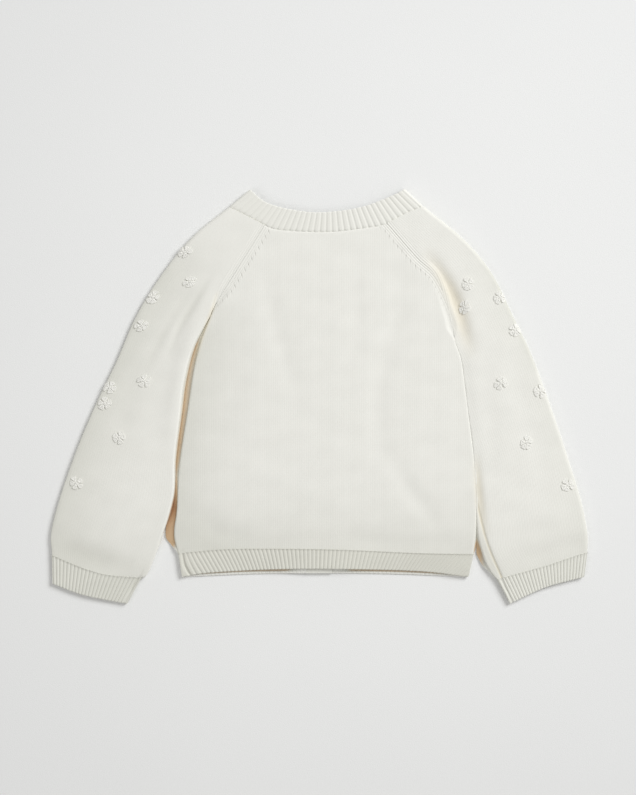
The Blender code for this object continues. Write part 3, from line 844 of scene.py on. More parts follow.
def floorLook():
    finish = floorFinish
    look = Look("pale_floor", finish["surface"])
    weave = look.noise(finish["weaveScale"], 3.0, 0.7)
    cloudy = look.noise(finish["cloudScale"])
    place = look.node("ShaderNodeTexCoord", {}, output="Object")
    away = look.node("ShaderNodeVectorMath", {"operation": "LENGTH"}, {0: place}, output="Value")
    shade = weave * finish["weaveShade"] + cloudy * finish["cloudShade"]
    # painted shade: the floor darkens away from the middle, as if the light fell off
    shade = shade + (away - finish["evenTo"]).above(0) * finish["paintedFalloff"]
    look.set("Base Color", look.blendColour(shade, finish["light"], finish["deep"]))
    look.bump(weave * finish["weaveRise"])
    return look.material


looks = {
    "knit": knitLook("fine_cotton_knit", False),
    "rib": knitLook("cotton_rib_knit", True),
    "yarn": yarnLook(),
    "resin": buttonLook(),
}
print("materials made")


def gridNormals(grid):
    normal = np.cross(np.gradient(grid, axis=1), np.gradient(grid, axis=0))
    return normal / np.maximum(np.linalg.norm(normal, axis=-1, keepdims=True), 1e-9)


def gridQuads(count, length, start, flip):
    # faces of a grid of count rows and length columns
    i = np.arange(count * length).reshape(count, length) + start
    quads = np.stack([i[:-1, :-1], i[:-1, 1:], i[1:, 1:], i[1:, :-1]], axis=-1).reshape(-1, 4)
    return quads[:, ::-1] if flip else quads


def rimQuads(count, length, flip):
    # faces that join the outer grid's border to the inner grid's
    i = np.arange(count * length).reshape(count, length)
    loop = np.concatenate([i[0, :-1], i[:-1, -1], i[-1, :0:-1], i[:0:-1, 0]])
    after = np.roll(loop, -1)
    inside = count * length
    quads = np.stack([after, loop, loop + inside, after + inside], axis=-1)
    return quads[:, ::-1] if flip else quads


def addPiece(name, mesh, look):
    mesh.materials.append(looks[look])
    mesh.shade_smooth()
    piece = bpy.data.objects.new(name, mesh)
    garment.objects.link(piece)
    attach(piece, "root")
    return piece


def makeMesh(name, points, quads, look, vectors):
    mesh = bpy.data.meshes.new(name)
    mesh.from_pydata((points.reshape(-1, 3) * mm).tolist(), [], quads.tolist())
    mesh.update()
    for title, values in vectors.items():
        attribute = mesh.attributes.new(title, "FLOAT_VECTOR", "POINT")
        attribute.data.foreach_set("vector", values.reshape(-1).astype(np.float32))
    piece = addPiece(name, mesh, look)
    mesh.set_sharp_from_angle(angle=math.radians(sharpAngle))
    return piece


rim = {"reach": 0.6, "least": 0.03}


def edgeRounding(points, freeRow, thickness):
    # from near 0 at the cloth's free edge to 1 where it has its whole thickness
    if freeRow is None:
        return 1.0
    away = np.linalg.norm(points - points[freeRow][None], axis=-1)
    near = 1 - np.clip(away / (thickness * rim["reach"]), 0, 1)
    return np.sqrt(np.maximum(1 - near**2, rim["least"]))[..., None]


# Painted shade in folds and gaps: the depth below the upper face where it starts and over which it grows,
# its curve, the share that sagging adds, and its strength at heights y
gapShadePaint = {
    "from": 2.9, "over": 2.4, "curve": 1.1, "sag": 0.15,
    "y": (-165, -150, -134, -122, -108, -90, -75, 30, 60, 80),
    "deep": (0.8, 1.1, 1.2, 1.45, 2.0, 1.85, 1.1, 0.95, 1.05, 0.9),
}


def paintedHollowShade(c, points, inner, paintedShade, part):
    # painted shade and warm light: 0 on the open face, 1 in a fold or crease and 2 deep in a gap, where the
    # colour is darkened and warmed for the shade and the cloth's own warm bounced light there. Sagging
    # cloth is darkened too, inner picks the columns beside a gap, and the piece's painted shade is added
    # everywhere
    down = np.clip((upperFace - gapShadePaint["from"] - points[..., 2]) / gapShadePaint["over"], 0, 1)
    near = inner(c) if inner else 0
    x, y = points[..., 0], points[..., 1]
    deep = np.interp(y, gapShadePaint["y"], gapShadePaint["deep"])
    folds = down ** gapShadePaint["curve"] * near * deep + creaseSum(x, y, "shade") * (near > 0)
    if part:
        folds = folds + gapShadePaint["sag"] * sagDepth(part, x, y) * (points[..., 2] > foldMiddle)
    return np.clip(folds + paintedShade, 0, 2)


def nearEdge(c, fade):
    # 1 in the columns of a left edge and falling to 0 where the middle begins
    return ease((1 + fade - c) / fade)


# the creases' tints are their painted shade and painted warm glow
leastNear = 0.001  # an upper layer takes the creases' tints also where no gap is near


def shell(name, place, columns, rows, flip, look, relief, knit, border=None, thickness=1.1,
          freeRow=None, inner=None, paintedShade=0, insidePaintedShade=0, part=None):
    c, v = np.meshgrid(columns, rows)
    base = place(c, v)
    normal = gridNormals(base) * (-1 if flip else 1)
    middle = base - normal * thickness / 2
    lift, backLift = relief(c, v, base)
    rounding = edgeRounding(base, freeRow, thickness)
    outside = middle + normal * (thickness / 2 + lift[..., None]) * rounding
    inside = middle - normal * (thickness / 2 + backLift[..., None]) * rounding
    count, length = c.shape
    points = np.concatenate([outside.reshape(-1, 3), inside.reshape(-1, 3)])
    points[:, 2] = np.maximum(points[:, 2], 0)  # nothing sinks into the floor
    quads = np.concatenate([
        gridQuads(count, length, 0, flip),
        gridQuads(count, length, count * length, not flip),
        rimQuads(count, length, flip),
    ])
    zero = np.zeros(c.shape)
    wale, course = knit(c, v, base)
    apart, along, marked = border(c, v, base) if border else (zero + farFromSeams, zero, zero)
    hollow = paintedHollowShade(c, base, inner, paintedShade, part)
    vectors = {
        "knit": np.stack([wale + zero, course + zero, hollow], axis=-1),
        "border": np.stack([apart, along, marked + zero], axis=-1),
    }
    if inner:
        # the creases' painted warm glow, on the columns that take their tints
        paintedGlow = creaseSum(base[..., 0], base[..., 1], "paintedGlow") * (inner(c) > 0)
        vectors["crease"] = np.stack([paintedGlow, zero, zero], axis=-1)
    doubled = {title: np.concatenate([values, values]) for title, values in vectors.items()}
    # the inner faces take their own painted shade
    doubled["knit"][count:, :, 2] = insidePaintedShade
    piece = makeMesh(name + "_cloth", points, quads, look, doubled)
    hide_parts(name)


def rowReach(points, anchor):
    # length along each row from its anchor column
    lengths = np.linalg.norm(np.diff(points, axis=1), axis=-1)
    reach = np.concatenate([np.zeros((len(points), 1)), np.cumsum(lengths, axis=1)], axis=1)
    return reach - reach[:, anchor][:, None]


def steps(start, end, count):
    return list(np.linspace(start, end, count + 1)[1:])


def panelRows(below, above):
    return [0.0] + steps(0, armpitAt, below) + steps(armpitAt, 1, above)


def bodyKnit(c, v, points):
    # wales run straight up from the hem, measured from the middle
    reach = rowReach(points, 0)
    xs = points[..., 0]
    order = 1 if xs[0, -1] > xs[0, 0] else -1
    centre = np.array([np.interp(0, x[::order], r[::order]) for x, r in zip(xs, reach)])
    return (reach - centre[:, None]) * order, points[..., 1]


# The border's raised wales, and along each raglan the seam's depth and the length that the border
# takes to grow
raglanRelief = {
    "waleDepth": 0.33, "fade": 0.75, "wales": 3, "power": 2.4, "seamWales": 0.5,
    "left": {"along": (0, 200), "seamDepth": (0.06, 0.08), "begins": 34.0},
    "right": {"along": (0, 75, 92, 200), "seamDepth": (0.1, 0.1, 0.35, 0.4), "begins": 80.0},
}


def raglanBorder(side, face, marked):
    line = raglans[side, face].line

    def at(c, v, points):
        gap, along = line.nearest(points[..., 0], points[..., 1])
        grown = ease(along / raglanRelief[side]["begins"])
        apart = np.abs(gap) + raglanRelief["wales"] * waleWidth * (1 - grown)
        return apart + farFromSeams * (v < armpitAt), along, marked * grown

    return at


def borderRelief(apart, along, leftSide):
    # raised wales beside a raglan and a groove at its seam
    size = raglanRelief
    wale = apart / waleWidth
    shape = zigzag(wale) ** size["power"]
    depth = size["waleDepth"] * size["fade"] ** np.floor(wale)
    seams = [np.interp(along, size[side]["along"], size[side]["seamDepth"]) for side in sides]
    depth = np.where(wale < size["seamWales"], np.where(leftSide, seams[0], seams[1]), depth)
    depth = np.where(wale < size["wales"], depth, 0)
    return -depth * shape, 0 * apart


def bothBorders(left, right):
    def at(c, v, points):
        first = left(c, v, points)
        second = right(c, v, points)
        nearer = first[0] < second[0]
        return [np.where(nearer, a, b) for a, b in zip(first, second)]

    return at


backPanel = {
    "edgeColumns": 16, "middleColumns": 132, "rowsBelow": 108, "rowsAbove": 100, "edgeFade": 0.04,
    "height": 300.0, "linkDepth": 0.6, "linkWidth": 0.9, "linkRows": (1.2, 0.6),
}


def addBack():
    left, right = bodyEdge("left", "back"), bodyEdge("right", "back")
    bottom = alongX(Line(hemSeam), left(0)[0], right(0)[0], seamGap)
    top = alongX(Line(neckSeamBack), left(1)[0], right(1)[0], -seamGap)
    area = patch(left, right, bottom, top)
    place = bodyPlace(
        area,
        lambda v: seamState("left", "back", 0, v),
        lambda v: seamState("right", "back", 0, v),
        upperHeight,
    )
    edge = backPanel["edgeColumns"]
    columns = [0.0] + steps(0, 1, edge) + steps(1, 2, backPanel["middleColumns"]) + steps(2, 3, edge)
    border = bothBorders(raglanBorder("left", "back", 1), raglanBorder("right", "back", 1))

    def relief(c, v, points):
        lift, backLift = borderRelief(*border(c, v, points)[:2], points[..., 0] < 0)
        up = (1 - v) * backPanel["height"]
        return lift - backPanel["linkDepth"] * np.exp(-((up / backPanel["linkWidth"]) ** 2)), backLift

    rows = panelRows(backPanel["rowsBelow"], backPanel["rowsAbove"])
    rows = rows[:-1] + [1 - below / backPanel["height"] for below in backPanel["linkRows"]] + [1.0]
    fade = backPanel["edgeFade"]
    inner = lambda c: np.maximum(nearEdge(c, fade) + nearEdge(3 - c, fade), leastNear)
    shell("back_panel", place, columns, rows, False, "knit", relief, bodyKnit, border, inner=inner,
          part="body")


frontPanel = {"edgeColumns": 12, "middleColumns": 54, "rowsBelow": 84, "rowsAbove": 44}


def addFront(side):
    out = outward[side]
    bandX = out * (bandHalfWidth + seamGap)
    line = Line(neckSeamFront[side])
    edge = bodyEdge(side, "front")
    hemLine = Line(hemSeam)
    bottomY = hemLine.at(hemLine.fractionAtX(bandX))[1] + seamGap
    topY = line.at(0)[1] - seamGap

    def centre(v):
        v = np.asarray(v, float)
        return np.stack([bandX + 0 * v, mix(bottomY, topY, v)], axis=-1)

    bottom = alongX(hemLine, edge(0)[0], bandX, seamGap)
    top = alongX(line, edge(1)[0], bandX, -seamGap)
    area = patch(edge, centre, bottom, top)
    place = bodyPlace(area, lambda v: seamState(side, "front", 0, v), None, frontHeight)
    edgeCount = frontPanel["edgeColumns"]
    columns = [0.0] + steps(0, 1, edgeCount) + steps(1, 2, frontPanel["middleColumns"])
    border = raglanBorder(side, "front", 1)
    relief = lambda c, v, points: borderRelief(*border(c, v, points)[:2], points[..., 0] < 0)
    rows = panelRows(frontPanel["rowsBelow"], frontPanel["rowsAbove"])
    shell("front_" + side, place, columns, rows, out < 0, "knit", relief, bodyKnit, border)


ribs = {
    "hem": 69, "neck": 32, "cuff": {"left": 21, "right": 24}, "perRib": 8, "thickness": 1.5,
    "depth": 0.62, "backDepth": 0.35, "power": 2.2, "tip": 0.45, "tipPower": 6,
    "startRise": 0.55, "startLength": 0.9,
    # painted shade of each ribbed piece, darkest on the hem and cuffs, which lie lower and turn from the
    # light
    "paintedShade": {"hem": 0.56, "left": 0.5, "right": 0.4, "neck": 0.12, "bands": 0.3},
    # distances of rows from the free edge and from the seam
    "edgeRows": [0, 0.12, 0.35, 0.75, 1.3, 2.1], "seamRows": [1.1, 0.5],
}


def ribShape(phase):
    # 0 on a ridge and 1 in the groove between two
    return zigzag(phase) ** ribs["power"]


def ribLift(phase, fade, start=None):
    # grooves on the outer face, and shallower ones between them on the inner face. Where a length from
    # the seam is given, each rib starts with a raised stitch.
    grooves = ribShape(phase)
    ridge = 0
    if start is not None:
        ridge = ribs["startRise"] * (1 - grooves) * np.exp(-((start / ribs["startLength"]) ** 2))
    return ridge - ribs["depth"] * grooves * fade, -ribs["backDepth"] * ribShape(phase + 0.5) * fade


def ribRows(height, freeFirst=True, count=9):
    near = [d / height for d in ribs["edgeRows"]]
    middle = list(np.linspace(near[-1], 1, count + 1)[1:-1])
    rows = sorted(near + middle + [1 - d / height for d in ribs["seamRows"]] + [1.0])
    return rows if freeFirst else [1 - f for f in reversed(rows)]


def scallop(phase, height, toFree):
    # how far the grooves end behind the ribs; toFree is 1 at the free edge and 0 at the seam
    return ribs["tip"] * ribShape(phase) / height * toFree ** ribs["tipPower"]


hem = {
    "height": 21, "rows": 30, "edgeColumns": 12, "aroundFold": 1.4, "grooveFrom": 1.6,
    "smoothEnd": 2.6, "smoothFrom": 0.2, "rightFade": 0.9,
    # the ribs lean towards the middle, where the cloth is drawn in at the sides
    "leanAt": (-134, -126, -116, -95, -70, -40, -10, 30, 75, 105, 128, 147),
    "lean": (2.5, 6, 9, 9.5, 7.2, 3.2, 0.5, -1.5, -5.5, -10.5, -14, -15.5),
}
frontHem = {
    "ribs": 31, "edgeColumns": 10, "grooveEnd": 14,
    # painted shadow: the inside is dark under the back, and light again at its lower edge and near the
    # bands
    "shadow": 0.88, "shadowFrom": 1.0, "shadowOver": 1.4, "bandFade": 22,
}
hemEnds = hemSeam[0][0] + bodyInset, hemSeam[-1][0] - bodyInset


def hemArea(edgePoints, x0, x1):
    freeEnds = edgePoints[0][0] + bodyInset, edgePoints[-1][0] - bodyInset
    corners = dict(zip(hemEnds, freeEnds))
    free0, free1 = (corners.get(x, x) for x in (x0, x1))
    top = alongX(Line(hemSeam), x0, x1, 0)
    bottom = alongX(Line(edgePoints), free0, free1, 0)
    left = lambda v: mixed(bottom(0.0), top(0.0), v)
    right = lambda v: mixed(bottom(1.0), top(1.0), v)
    return patch(left, right, bottom, top)


def addBackHem():
    x0, x1 = hemEnds
    pitch = (x1 - x0) / ribs["hem"]
    folds = [foldState(side, seamGap / 2) for side in sides]
    place = bodyPlace(hemArea(hemEdgeBack, x0, x1), folds[0], folds[1], upperHeight)

    def phase(c, v):
        across = np.where(c < 1, (c - 1) * hem["aroundFold"], (c - 1) * ribs["hem"])
        across = np.where(c > 2, ribs["hem"] + (c - 2) * hem["aroundFold"], across)
        return across - np.interp(across * pitch + x0, hem["leanAt"], hem["lean"]) * (1 - v) / pitch

    def relief(c, v, points):
        below = (1 - v) * hem["height"]
        ribbed = ease((c - 1) * ribs["hem"] / hem["smoothEnd"] + hem["smoothFrom"])
        ribbed = ribbed * ease((3 - c) * hem["rightFade"])
        return ribLift(phase(c, v), ease(below / hem["grooveFrom"]) * ribbed, below)

    scalloped = lambda c, v: place(c, v + scallop(phase(c, 0 * v), hem["height"], 1 - v))
    knit = lambda c, v, points: (phase(c, v), v * hem["height"])
    edge = steps(0, 1, hem["edgeColumns"])
    columns = [0.0] + edge + steps(1, 2, ribs["hem"] * ribs["perRib"]) + steps(2, 3, hem["edgeColumns"])
    rows = ribRows(hem["height"], count=hem["rows"])
    shell("hem_back", scalloped, columns, rows, False, "rib", relief, knit,
          thickness=ribs["thickness"], freeRow=0, paintedShade=ribs["paintedShade"]["hem"])


def addFrontHem(side):
    out = outward[side]
    sideX = hemEnds[sides.index(side)]
    bandX = out * (bandHalfWidth + seamGap)
    place = bodyPlace(hemArea(hemEdgeFront, sideX, bandX), foldState(side, -seamGap / 2), None, frontHeight)
    count = frontHem["ribs"]
    columns = [0.0] + steps(0, 1, frontHem["edgeColumns"]) + steps(1, 2, count * ribs["perRib"])
    rows = ribRows(hem["height"])
    knit = lambda c, v, points: ((c - 1) * count, v * hem["height"])
    relief = lambda c, v, points: ribLift((c - 1) * count, (c > 1) * ease((1 - v) * frontHem["grooveEnd"]))
    c, v = np.meshgrid(columns, rows)
    fromBand = np.abs(place(c, v)[..., 0]) - bandHalfWidth
    above = ease((v * hem["height"] - frontHem["shadowFrom"]) / frontHem["shadowOver"])
    shadowed = frontHem["shadow"] * above * ease(fromBand / frontHem["bandFade"])
    shell("hem_front_" + side, place, columns, rows, out < 0, "rib", relief, knit,
          thickness=ribs["thickness"], freeRow=0, insidePaintedShade=shadowed)


sleeve = {
    "edgeColumns": 16, "overColumns": 62, "crowding": 1.5, "foldColumns": 14, "underColumns": 34,
    "lastColumns": 10, "rowsBelow": 120, "rowsAbove": 70,
    # the creases' tints are their painted shade and painted warm glow
    "edgeFade": 0.06, "tintsTo": 3.3,  # the column on the fold where the creases' tints end
    "fanEnd": 0.3,  # below this row the wales fan out and keep their number
}


def addSleeve(side):
    tube = sleeveTube(side)
    columns = (
        [0.0] + steps(0, 1, sleeve["edgeColumns"])
        + [1 + share ** sleeve["crowding"] for share in steps(0, 1, sleeve["overColumns"])]
        + steps(2, 4, sleeve["foldColumns"]) + steps(4, 5, sleeve["underColumns"])
        + steps(5, 6, sleeve["lastColumns"])
    )
    fold = int(np.argmin(np.abs(np.array(columns) - 3)))
    rows = panelRows(sleeve["rowsBelow"], sleeve["rowsAbove"])
    upper, lower = raglanBorder(side, "back", 0), raglanBorder(side, "front", 0)

    def border(c, v, points):
        onTop = c < 3
        return [np.where(onTop, a, b) for a, b in zip(upper(c, v, points), lower(c, v, points))]

    relief = lambda c, v, points: borderRelief(*border(c, v, points)[:2], points[..., 0] < 0)

    def knit(c, v, points):
        reach = rowReach(points, fold)
        whole = reach[:, -1] - reach[:, 0]
        atFan = np.interp(sleeve["fanEnd"], rows, whole)
        scale = np.where(np.array(rows) < sleeve["fanEnd"], atFan / whole, 1)
        lengths = np.linalg.norm(np.diff(points, axis=0), axis=-1).mean(axis=1)
        along = np.concatenate([[0], np.cumsum(lengths)])
        return reach * scale[:, None], along[:, None]

    inner = lambda c: np.maximum(nearEdge(c, sleeve["edgeFade"]), leastNear * (c < sleeve["tintsTo"]))
    shell("sleeve_" + side, tube.place, columns, rows, side == "left", "knit", relief, knit, border,
          inner=inner, part=side)
    return tube


cuff = {"height": 25, "edgeColumns": 10, "foldColumns": 24, "foldRibs": 3, "grooveEnd": 16, "innerEnd": 2}


def addCuff(side):
    tube = cuffTube(side)
    count = ribs["cuff"][side]
    edge, fold = cuff["edgeColumns"], cuff["foldColumns"]
    columns = [0.0] + steps(0, 1, edge) + steps(1, 2, count * ribs["perRib"]) + steps(2, 4, fold)
    columns += steps(4, 5, count * ribs["perRib"]) + steps(5, 6, edge)

    def phase(c):
        top = np.where(c < 1, (c - 1) * hem["aroundFold"], (c - 1) * count)
        folded = count + (c - 2) * cuff["foldRibs"] / 2
        return np.where(c < 2, top, np.where(c < 4, folded, count + cuff["foldRibs"] + (c - 4) * count))

    def relief(c, v, points):
        inner = ease(c * cuff["innerEnd"]) * ease((6 - c) * cuff["innerEnd"])
        return ribLift(phase(c), ease((1 - v) * cuff["grooveEnd"]) * inner, (1 - v) * cuff["height"])

    knit = lambda c, v, points: (phase(c), v * cuff["height"])
    scalloped = lambda c, v: tube.place(c, v + scallop(phase(c), cuff["height"], 1 - v))
    shell("cuff_" + side, scalloped, columns, ribRows(cuff["height"]), side == "left", "rib", relief, knit,
          thickness=ribs["thickness"], freeRow=0, paintedShade=ribs["paintedShade"][side])


neckbandSizes = {
    "height": 20, "frontRibs": 17, "foldRibs": 2, "foldColumns": 20, "foldInset": 0.1, "frontLength": 90.0,
    # grooves are shallower at the seam, and the linking sinks in all round, deeper in the grooves
    "seamGroove": 0.25, "grooves": 0.42, "grooveFrom": 12,
    "link": [{"depth": 0.7, "width": 1.3}, {"depth": 0.45, "width": 0.7}],
}


def addNeckband():
    # column 0 to 1 the left front, 1 to 3 its fold, 3 to 4 the back, 4 to 6 the right fold, to 7 the front
    backLines = Line(neckSeamBack), Line(neckEdgeBack)
    foldAt = {}
    for side in sides:
        end = 0 if side == "left" else 1
        inset = outward[side] * neckbandSizes["foldInset"]
        foldAt[side] = [line.fractionAtX(line.at(end)[0] - inset) for line in backLines]

    def backPoint(u, v):
        seam, edge = (
            line.at(mix(foldAt["left"][i], foldAt["right"][i], u)) for i, line in enumerate(backLines)
        )
        return mixed(seam, edge, v)

    def frontPoint(side, u, v):
        lines = Line(neckSeamFront[side]), Line(neckEdgeFront[side])
        startX = outward[side] * (bandHalfWidth + seamGap)
        seam, edge = (line.at(mix(line.fractionAtX(startX), 1, u)) for line in lines)
        fold = backPoint(np.full(np.shape(v), 0.0 if side == "left" else 1.0), v)
        end = mixed(lines[0].at(1), lines[1].at(1), v)
        return mixed(seam, edge, v) + (fold - end) * ease(u)[..., None]

    def place(c, v):
        onLeft = c < 3.5
        turn = np.where(onLeft, c, 7 - c)
        angle = math.pi / 2 * np.clip(turn - 2, -1, 1)
        inset = foldRadius * (1 - np.cos(angle))
        height = foldMiddle + foldRadius * np.sin(angle)
        u = np.minimum(turn, 1) * (1 - inset / neckbandSizes["frontLength"])
        front = np.where(onLeft[..., None], frontPoint("left", u, v), frontPoint("right", u, v))
        frontZ = np.maximum(height, frontHeight(front[..., 0]))
        width = np.linalg.norm(backPoint(np.ones_like(v), v) - backPoint(np.zeros_like(v), v), axis=-1)
        across = mix(inset, width - inset, np.clip(c - 3, 0, 1))
        over = backPoint(across / width, v)
        under = turn < 2
        spot = np.where(under[..., None], front, over)
        return np.stack([spot[..., 0], spot[..., 1], np.where(under, frontZ, height)], axis=-1)

    frontCount, backCount = neckbandSizes["frontRibs"], ribs["neck"]
    half = [0.0] + steps(0, 1, frontCount * ribs["perRib"]) + steps(1, 3, neckbandSizes["foldColumns"])
    columns = half + steps(3, 4, backCount * ribs["perRib"]) + [7 - c for c in reversed(half)][1:]

    def phase(c):
        side = np.where(c < 3.5, c, 7 - c)
        folded = frontCount + (side - 1) * neckbandSizes["foldRibs"] / 2
        beyond = frontCount + neckbandSizes["foldRibs"] + (c - 3) * backCount
        return np.where(side < 1, side * frontCount, np.where(side < 3, folded, beyond))

    height = neckbandSizes["height"]

    def relief(c, v, points):
        grown = ease(v * neckbandSizes["grooveFrom"])
        lift, backLift = ribLift(phase(c), neckbandSizes["seamGroove"] + neckbandSizes["grooves"] * grown)
        deep, even = (
            size["depth"] * np.exp(-((v * height / size["width"]) ** 2)) for size in neckbandSizes["link"]
        )
        return lift - (deep * ribShape(phase(c)) + even), backLift

    knit = lambda c, v, points: (phase(c), v * height)
    scalloped = lambda c, v: place(c, v - scallop(phase(c), height, v))
    shell("neckband", scalloped, columns, ribRows(height, False), False, "rib", relief, knit,
          thickness=ribs["thickness"], freeRow=-1, paintedShade=ribs["paintedShade"]["neck"])


bandSizes = {"ribs": 72, "columns": 10, "grooves": 0.7, "edgeFade": 0.8, "edgePower": 6}


def addBands():
    bands = {"buttonhole_band": buttonholeFace, "button_band": buttonBandFace}
    size = bandSizes
    for name, face in bands.items():
        columns = np.linspace(-1, 1, size["columns"] + 1)
        rows = np.linspace(0, 1, size["ribs"] * ribs["perRib"] + 1)

        def place(c, v):
            y = mix(bandBottom, bandTop, v)
            return np.stack([c * bandHalfWidth, y, face - endDrop(y)], axis=-1)

        def relief(c, v, points):
            fade = np.sqrt(1 - c ** size["edgePower"] * size["edgeFade"])
            return ribLift(v * size["ribs"], size["grooves"] * fade)

        knit = lambda c, v, points: (v * size["ribs"], c * bandHalfWidth)
        # the bands' inner faces are darkened as painted shade, where they lie in the back's shadow
        shell(name, place, columns, rows, True, "rib", relief, knit, thickness=bandWall,
              insidePaintedShade=ribs["paintedShade"]["bands"])


strand = {"sides": 6, "tip": 0.4, "acrossFrom": (0.13, 0.07, 1.0)}


def strandMesh(ways, radius):
    # round yarn along each way, which is a list of points; returns points, faces and strand measures
    points, quads, measures = [], [], []
    start = 0
    around = np.linspace(0, 2 * math.pi, strand["sides"], endpoint=False)
    cosines, sines = np.cos(around)[None, :, None], np.sin(around)[None, :, None]
    for way in ways:
        tangent = np.gradient(way, axis=0)
        tangent /= np.linalg.norm(tangent, axis=1, keepdims=True)
        sideways = np.cross(tangent, strand["acrossFrom"])
        sideways /= np.linalg.norm(sideways, axis=1, keepdims=True)
        upward = np.cross(sideways, tangent)
        taper = np.full(len(way), 1.0)
        taper[0] = taper[-1] = strand["tip"]
        ring = sideways[:, None] * cosines + upward[:, None] * sines
        points.append((way[:, None] + ring * radius * taper[:, None, None]).reshape(-1, 3))
        reach = np.concatenate([[0], np.cumsum(np.linalg.norm(np.diff(way, axis=0), axis=1))])
        measure = np.zeros((len(way), len(around), 3))
        measure[..., 0] = reach[:, None]
        measure[..., 1] = around[None] / (2 * math.pi)
        measures.append(measure.reshape(-1, 3))
        i = np.arange(len(way) * len(around)).reshape(len(way), len(around)) + start
        j = np.roll(i, -1, axis=1)
        quads.append(np.stack([i[:-1], i[1:], j[1:], j[:-1]], axis=-1).reshape(-1, 4)[:, ::-1])
        start += i.size
    return np.concatenate(points), np.concatenate(quads), np.concatenate(measures)


buttonSizes = {
    "count": 5, "lowest": -155, "highest": 118, "spokes": 64, "faceHeight": 0.5, "faceRadius": 3.0,
    "faceRings": 20, "holeApart": 1.0, "holeRadius": 0.62, "holeEdge": 0.25, "holeDepth": 0.7,
    # radius and height of each ring, from the back round the rim to the face
    "profile": [
        (3.6, 1.6), (4.9, 1.55), (5.3, 1.35), (5.5, 0.95), (5.5, 0.6), (5.3, 0.25), (4.9, 0.05), (4.5, 0.0),
        (4.1, 0.08), (3.6, 0.42),
    ],
    "threadRadius": 0.2, "threadSteps": 14, "threadTop": 1.0, "threadDrop": 0.75, "threadPower": 0.4,
    "slitEnd": [(5.8, 1.0), (7.2, 1.0), (7.9, 0.5), (7.9, -0.5), (7.2, -1.0), (5.8, -1.0)],
    "slitRadius": 0.32, "slitSunk": 0.05, "slitSteps": 5,
}


def buttonMesh(y):
    # rings round the button, with four holes sunk in its hollow face
    size = buttonSizes
    dish = np.linspace(size["faceRadius"], 0, size["faceRings"] + 1)[:-1]
    profile = size["profile"] + [(r, size["faceHeight"]) for r in dish]
    turn = np.linspace(0, 2 * math.pi, size["spokes"], endpoint=False)
    radius, height = (np.array(values)[:, None] + 0 * turn for values in zip(*profile))
    x, along = radius * np.cos(turn), radius * np.sin(turn)
    away = np.hypot(np.abs(x) - size["holeApart"], np.abs(along) - size["holeApart"])
    sunk = ease((size["holeRadius"] - away) / size["holeEdge"]) * (radius <= size["faceRadius"])
    rings = np.stack([x, along + y, height + size["holeDepth"] * sunk], axis=-1)
    ends = [[0, y, size["profile"][0][1]], [0, y, size["faceHeight"]]]
    points = np.concatenate([rings.reshape(-1, 3), ends])
    i = np.arange(radius.size).reshape(radius.shape)
    j = np.roll(i, -1, axis=1)
    faces = np.stack([i[:-1], i[1:], j[1:], j[:-1]], axis=-1).reshape(-1, 4).tolist()
    faces += [[radius.size, a, b] for a, b in zip(i[0], j[0])]
    faces += [[radius.size + 1, b, a] for a, b in zip(i[-1], j[-1])]
    return points, faces


def threadWays(y):
    # two doubled stitches from hole to hole
    size = buttonSizes
    f = np.linspace(0, 1, size["threadSteps"])
    height = size["threadTop"] - size["threadDrop"] * np.sin(math.pi * f) ** size["threadPower"]
    ways = []
    for side in (-1, 1):
        for beside in (-size["threadRadius"], size["threadRadius"]):
            across = side * size["holeApart"] + beside
            along = y + mix(-1, 1, f) * size["holeApart"]
            ways.append(np.stack([across + 0 * f, along, height], axis=-1))
    return ways


def slitWays(y):
    # the overcast ends of the buttonhole, which show on both sides of the button
    size = buttonSizes
    ways = []
    for side in (-1, 1):
        places = [(side * across, y + along) for across, along in size["slitEnd"]]
        bend = Line(places, size["slitSteps"]).points
        ways.append(np.column_stack([bend, np.full(len(bend), buttonholeFace - size["slitSunk"])]))
    return ways


def addButton(name, y):
    points, faces = buttonMesh(y)
    mesh = bpy.data.meshes.new(name + "_moulded")
    mesh.from_pydata((points * mm).tolist(), [], faces)
    button = addPiece(name + "_moulded", mesh, "resin")
    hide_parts(name)
    for title, ways, radius in (
        ("_thread", threadWays(y), buttonSizes["threadRadius"]),
        ("_slit_stitches", slitWays(y), buttonSizes["slitRadius"]),
    ):
        points, quads, measures = strandMesh(ways, radius)
        stitches = makeMesh(name + title, points, quads, "yarn", {"strand": measures})
    return button


def addButtons():
    heights = np.linspace(buttonSizes["lowest"], buttonSizes["highest"], buttonSizes["count"])
    return [addButton(f"button_{i + 1}", y) for i, y in enumerate(heights)]


garment = bpy.data.collections.new("baby_cardigan")
bpy.context.scene.collection.children.link(garment)

addBack()
print("back panel made")
for side in sides:
    addFront(side)
print("fronts made")
addBackHem()
for side in sides:
    addFrontHem(side)
addBands()
addNeckband()
print("hems, bands and neckband made")
tubes = {}
for side in sides:
    tubes[side] = addSleeve(side)
    addCuff(side)
print("sleeves and cuffs made")
sewnOn = {"button_band": addButtons()}

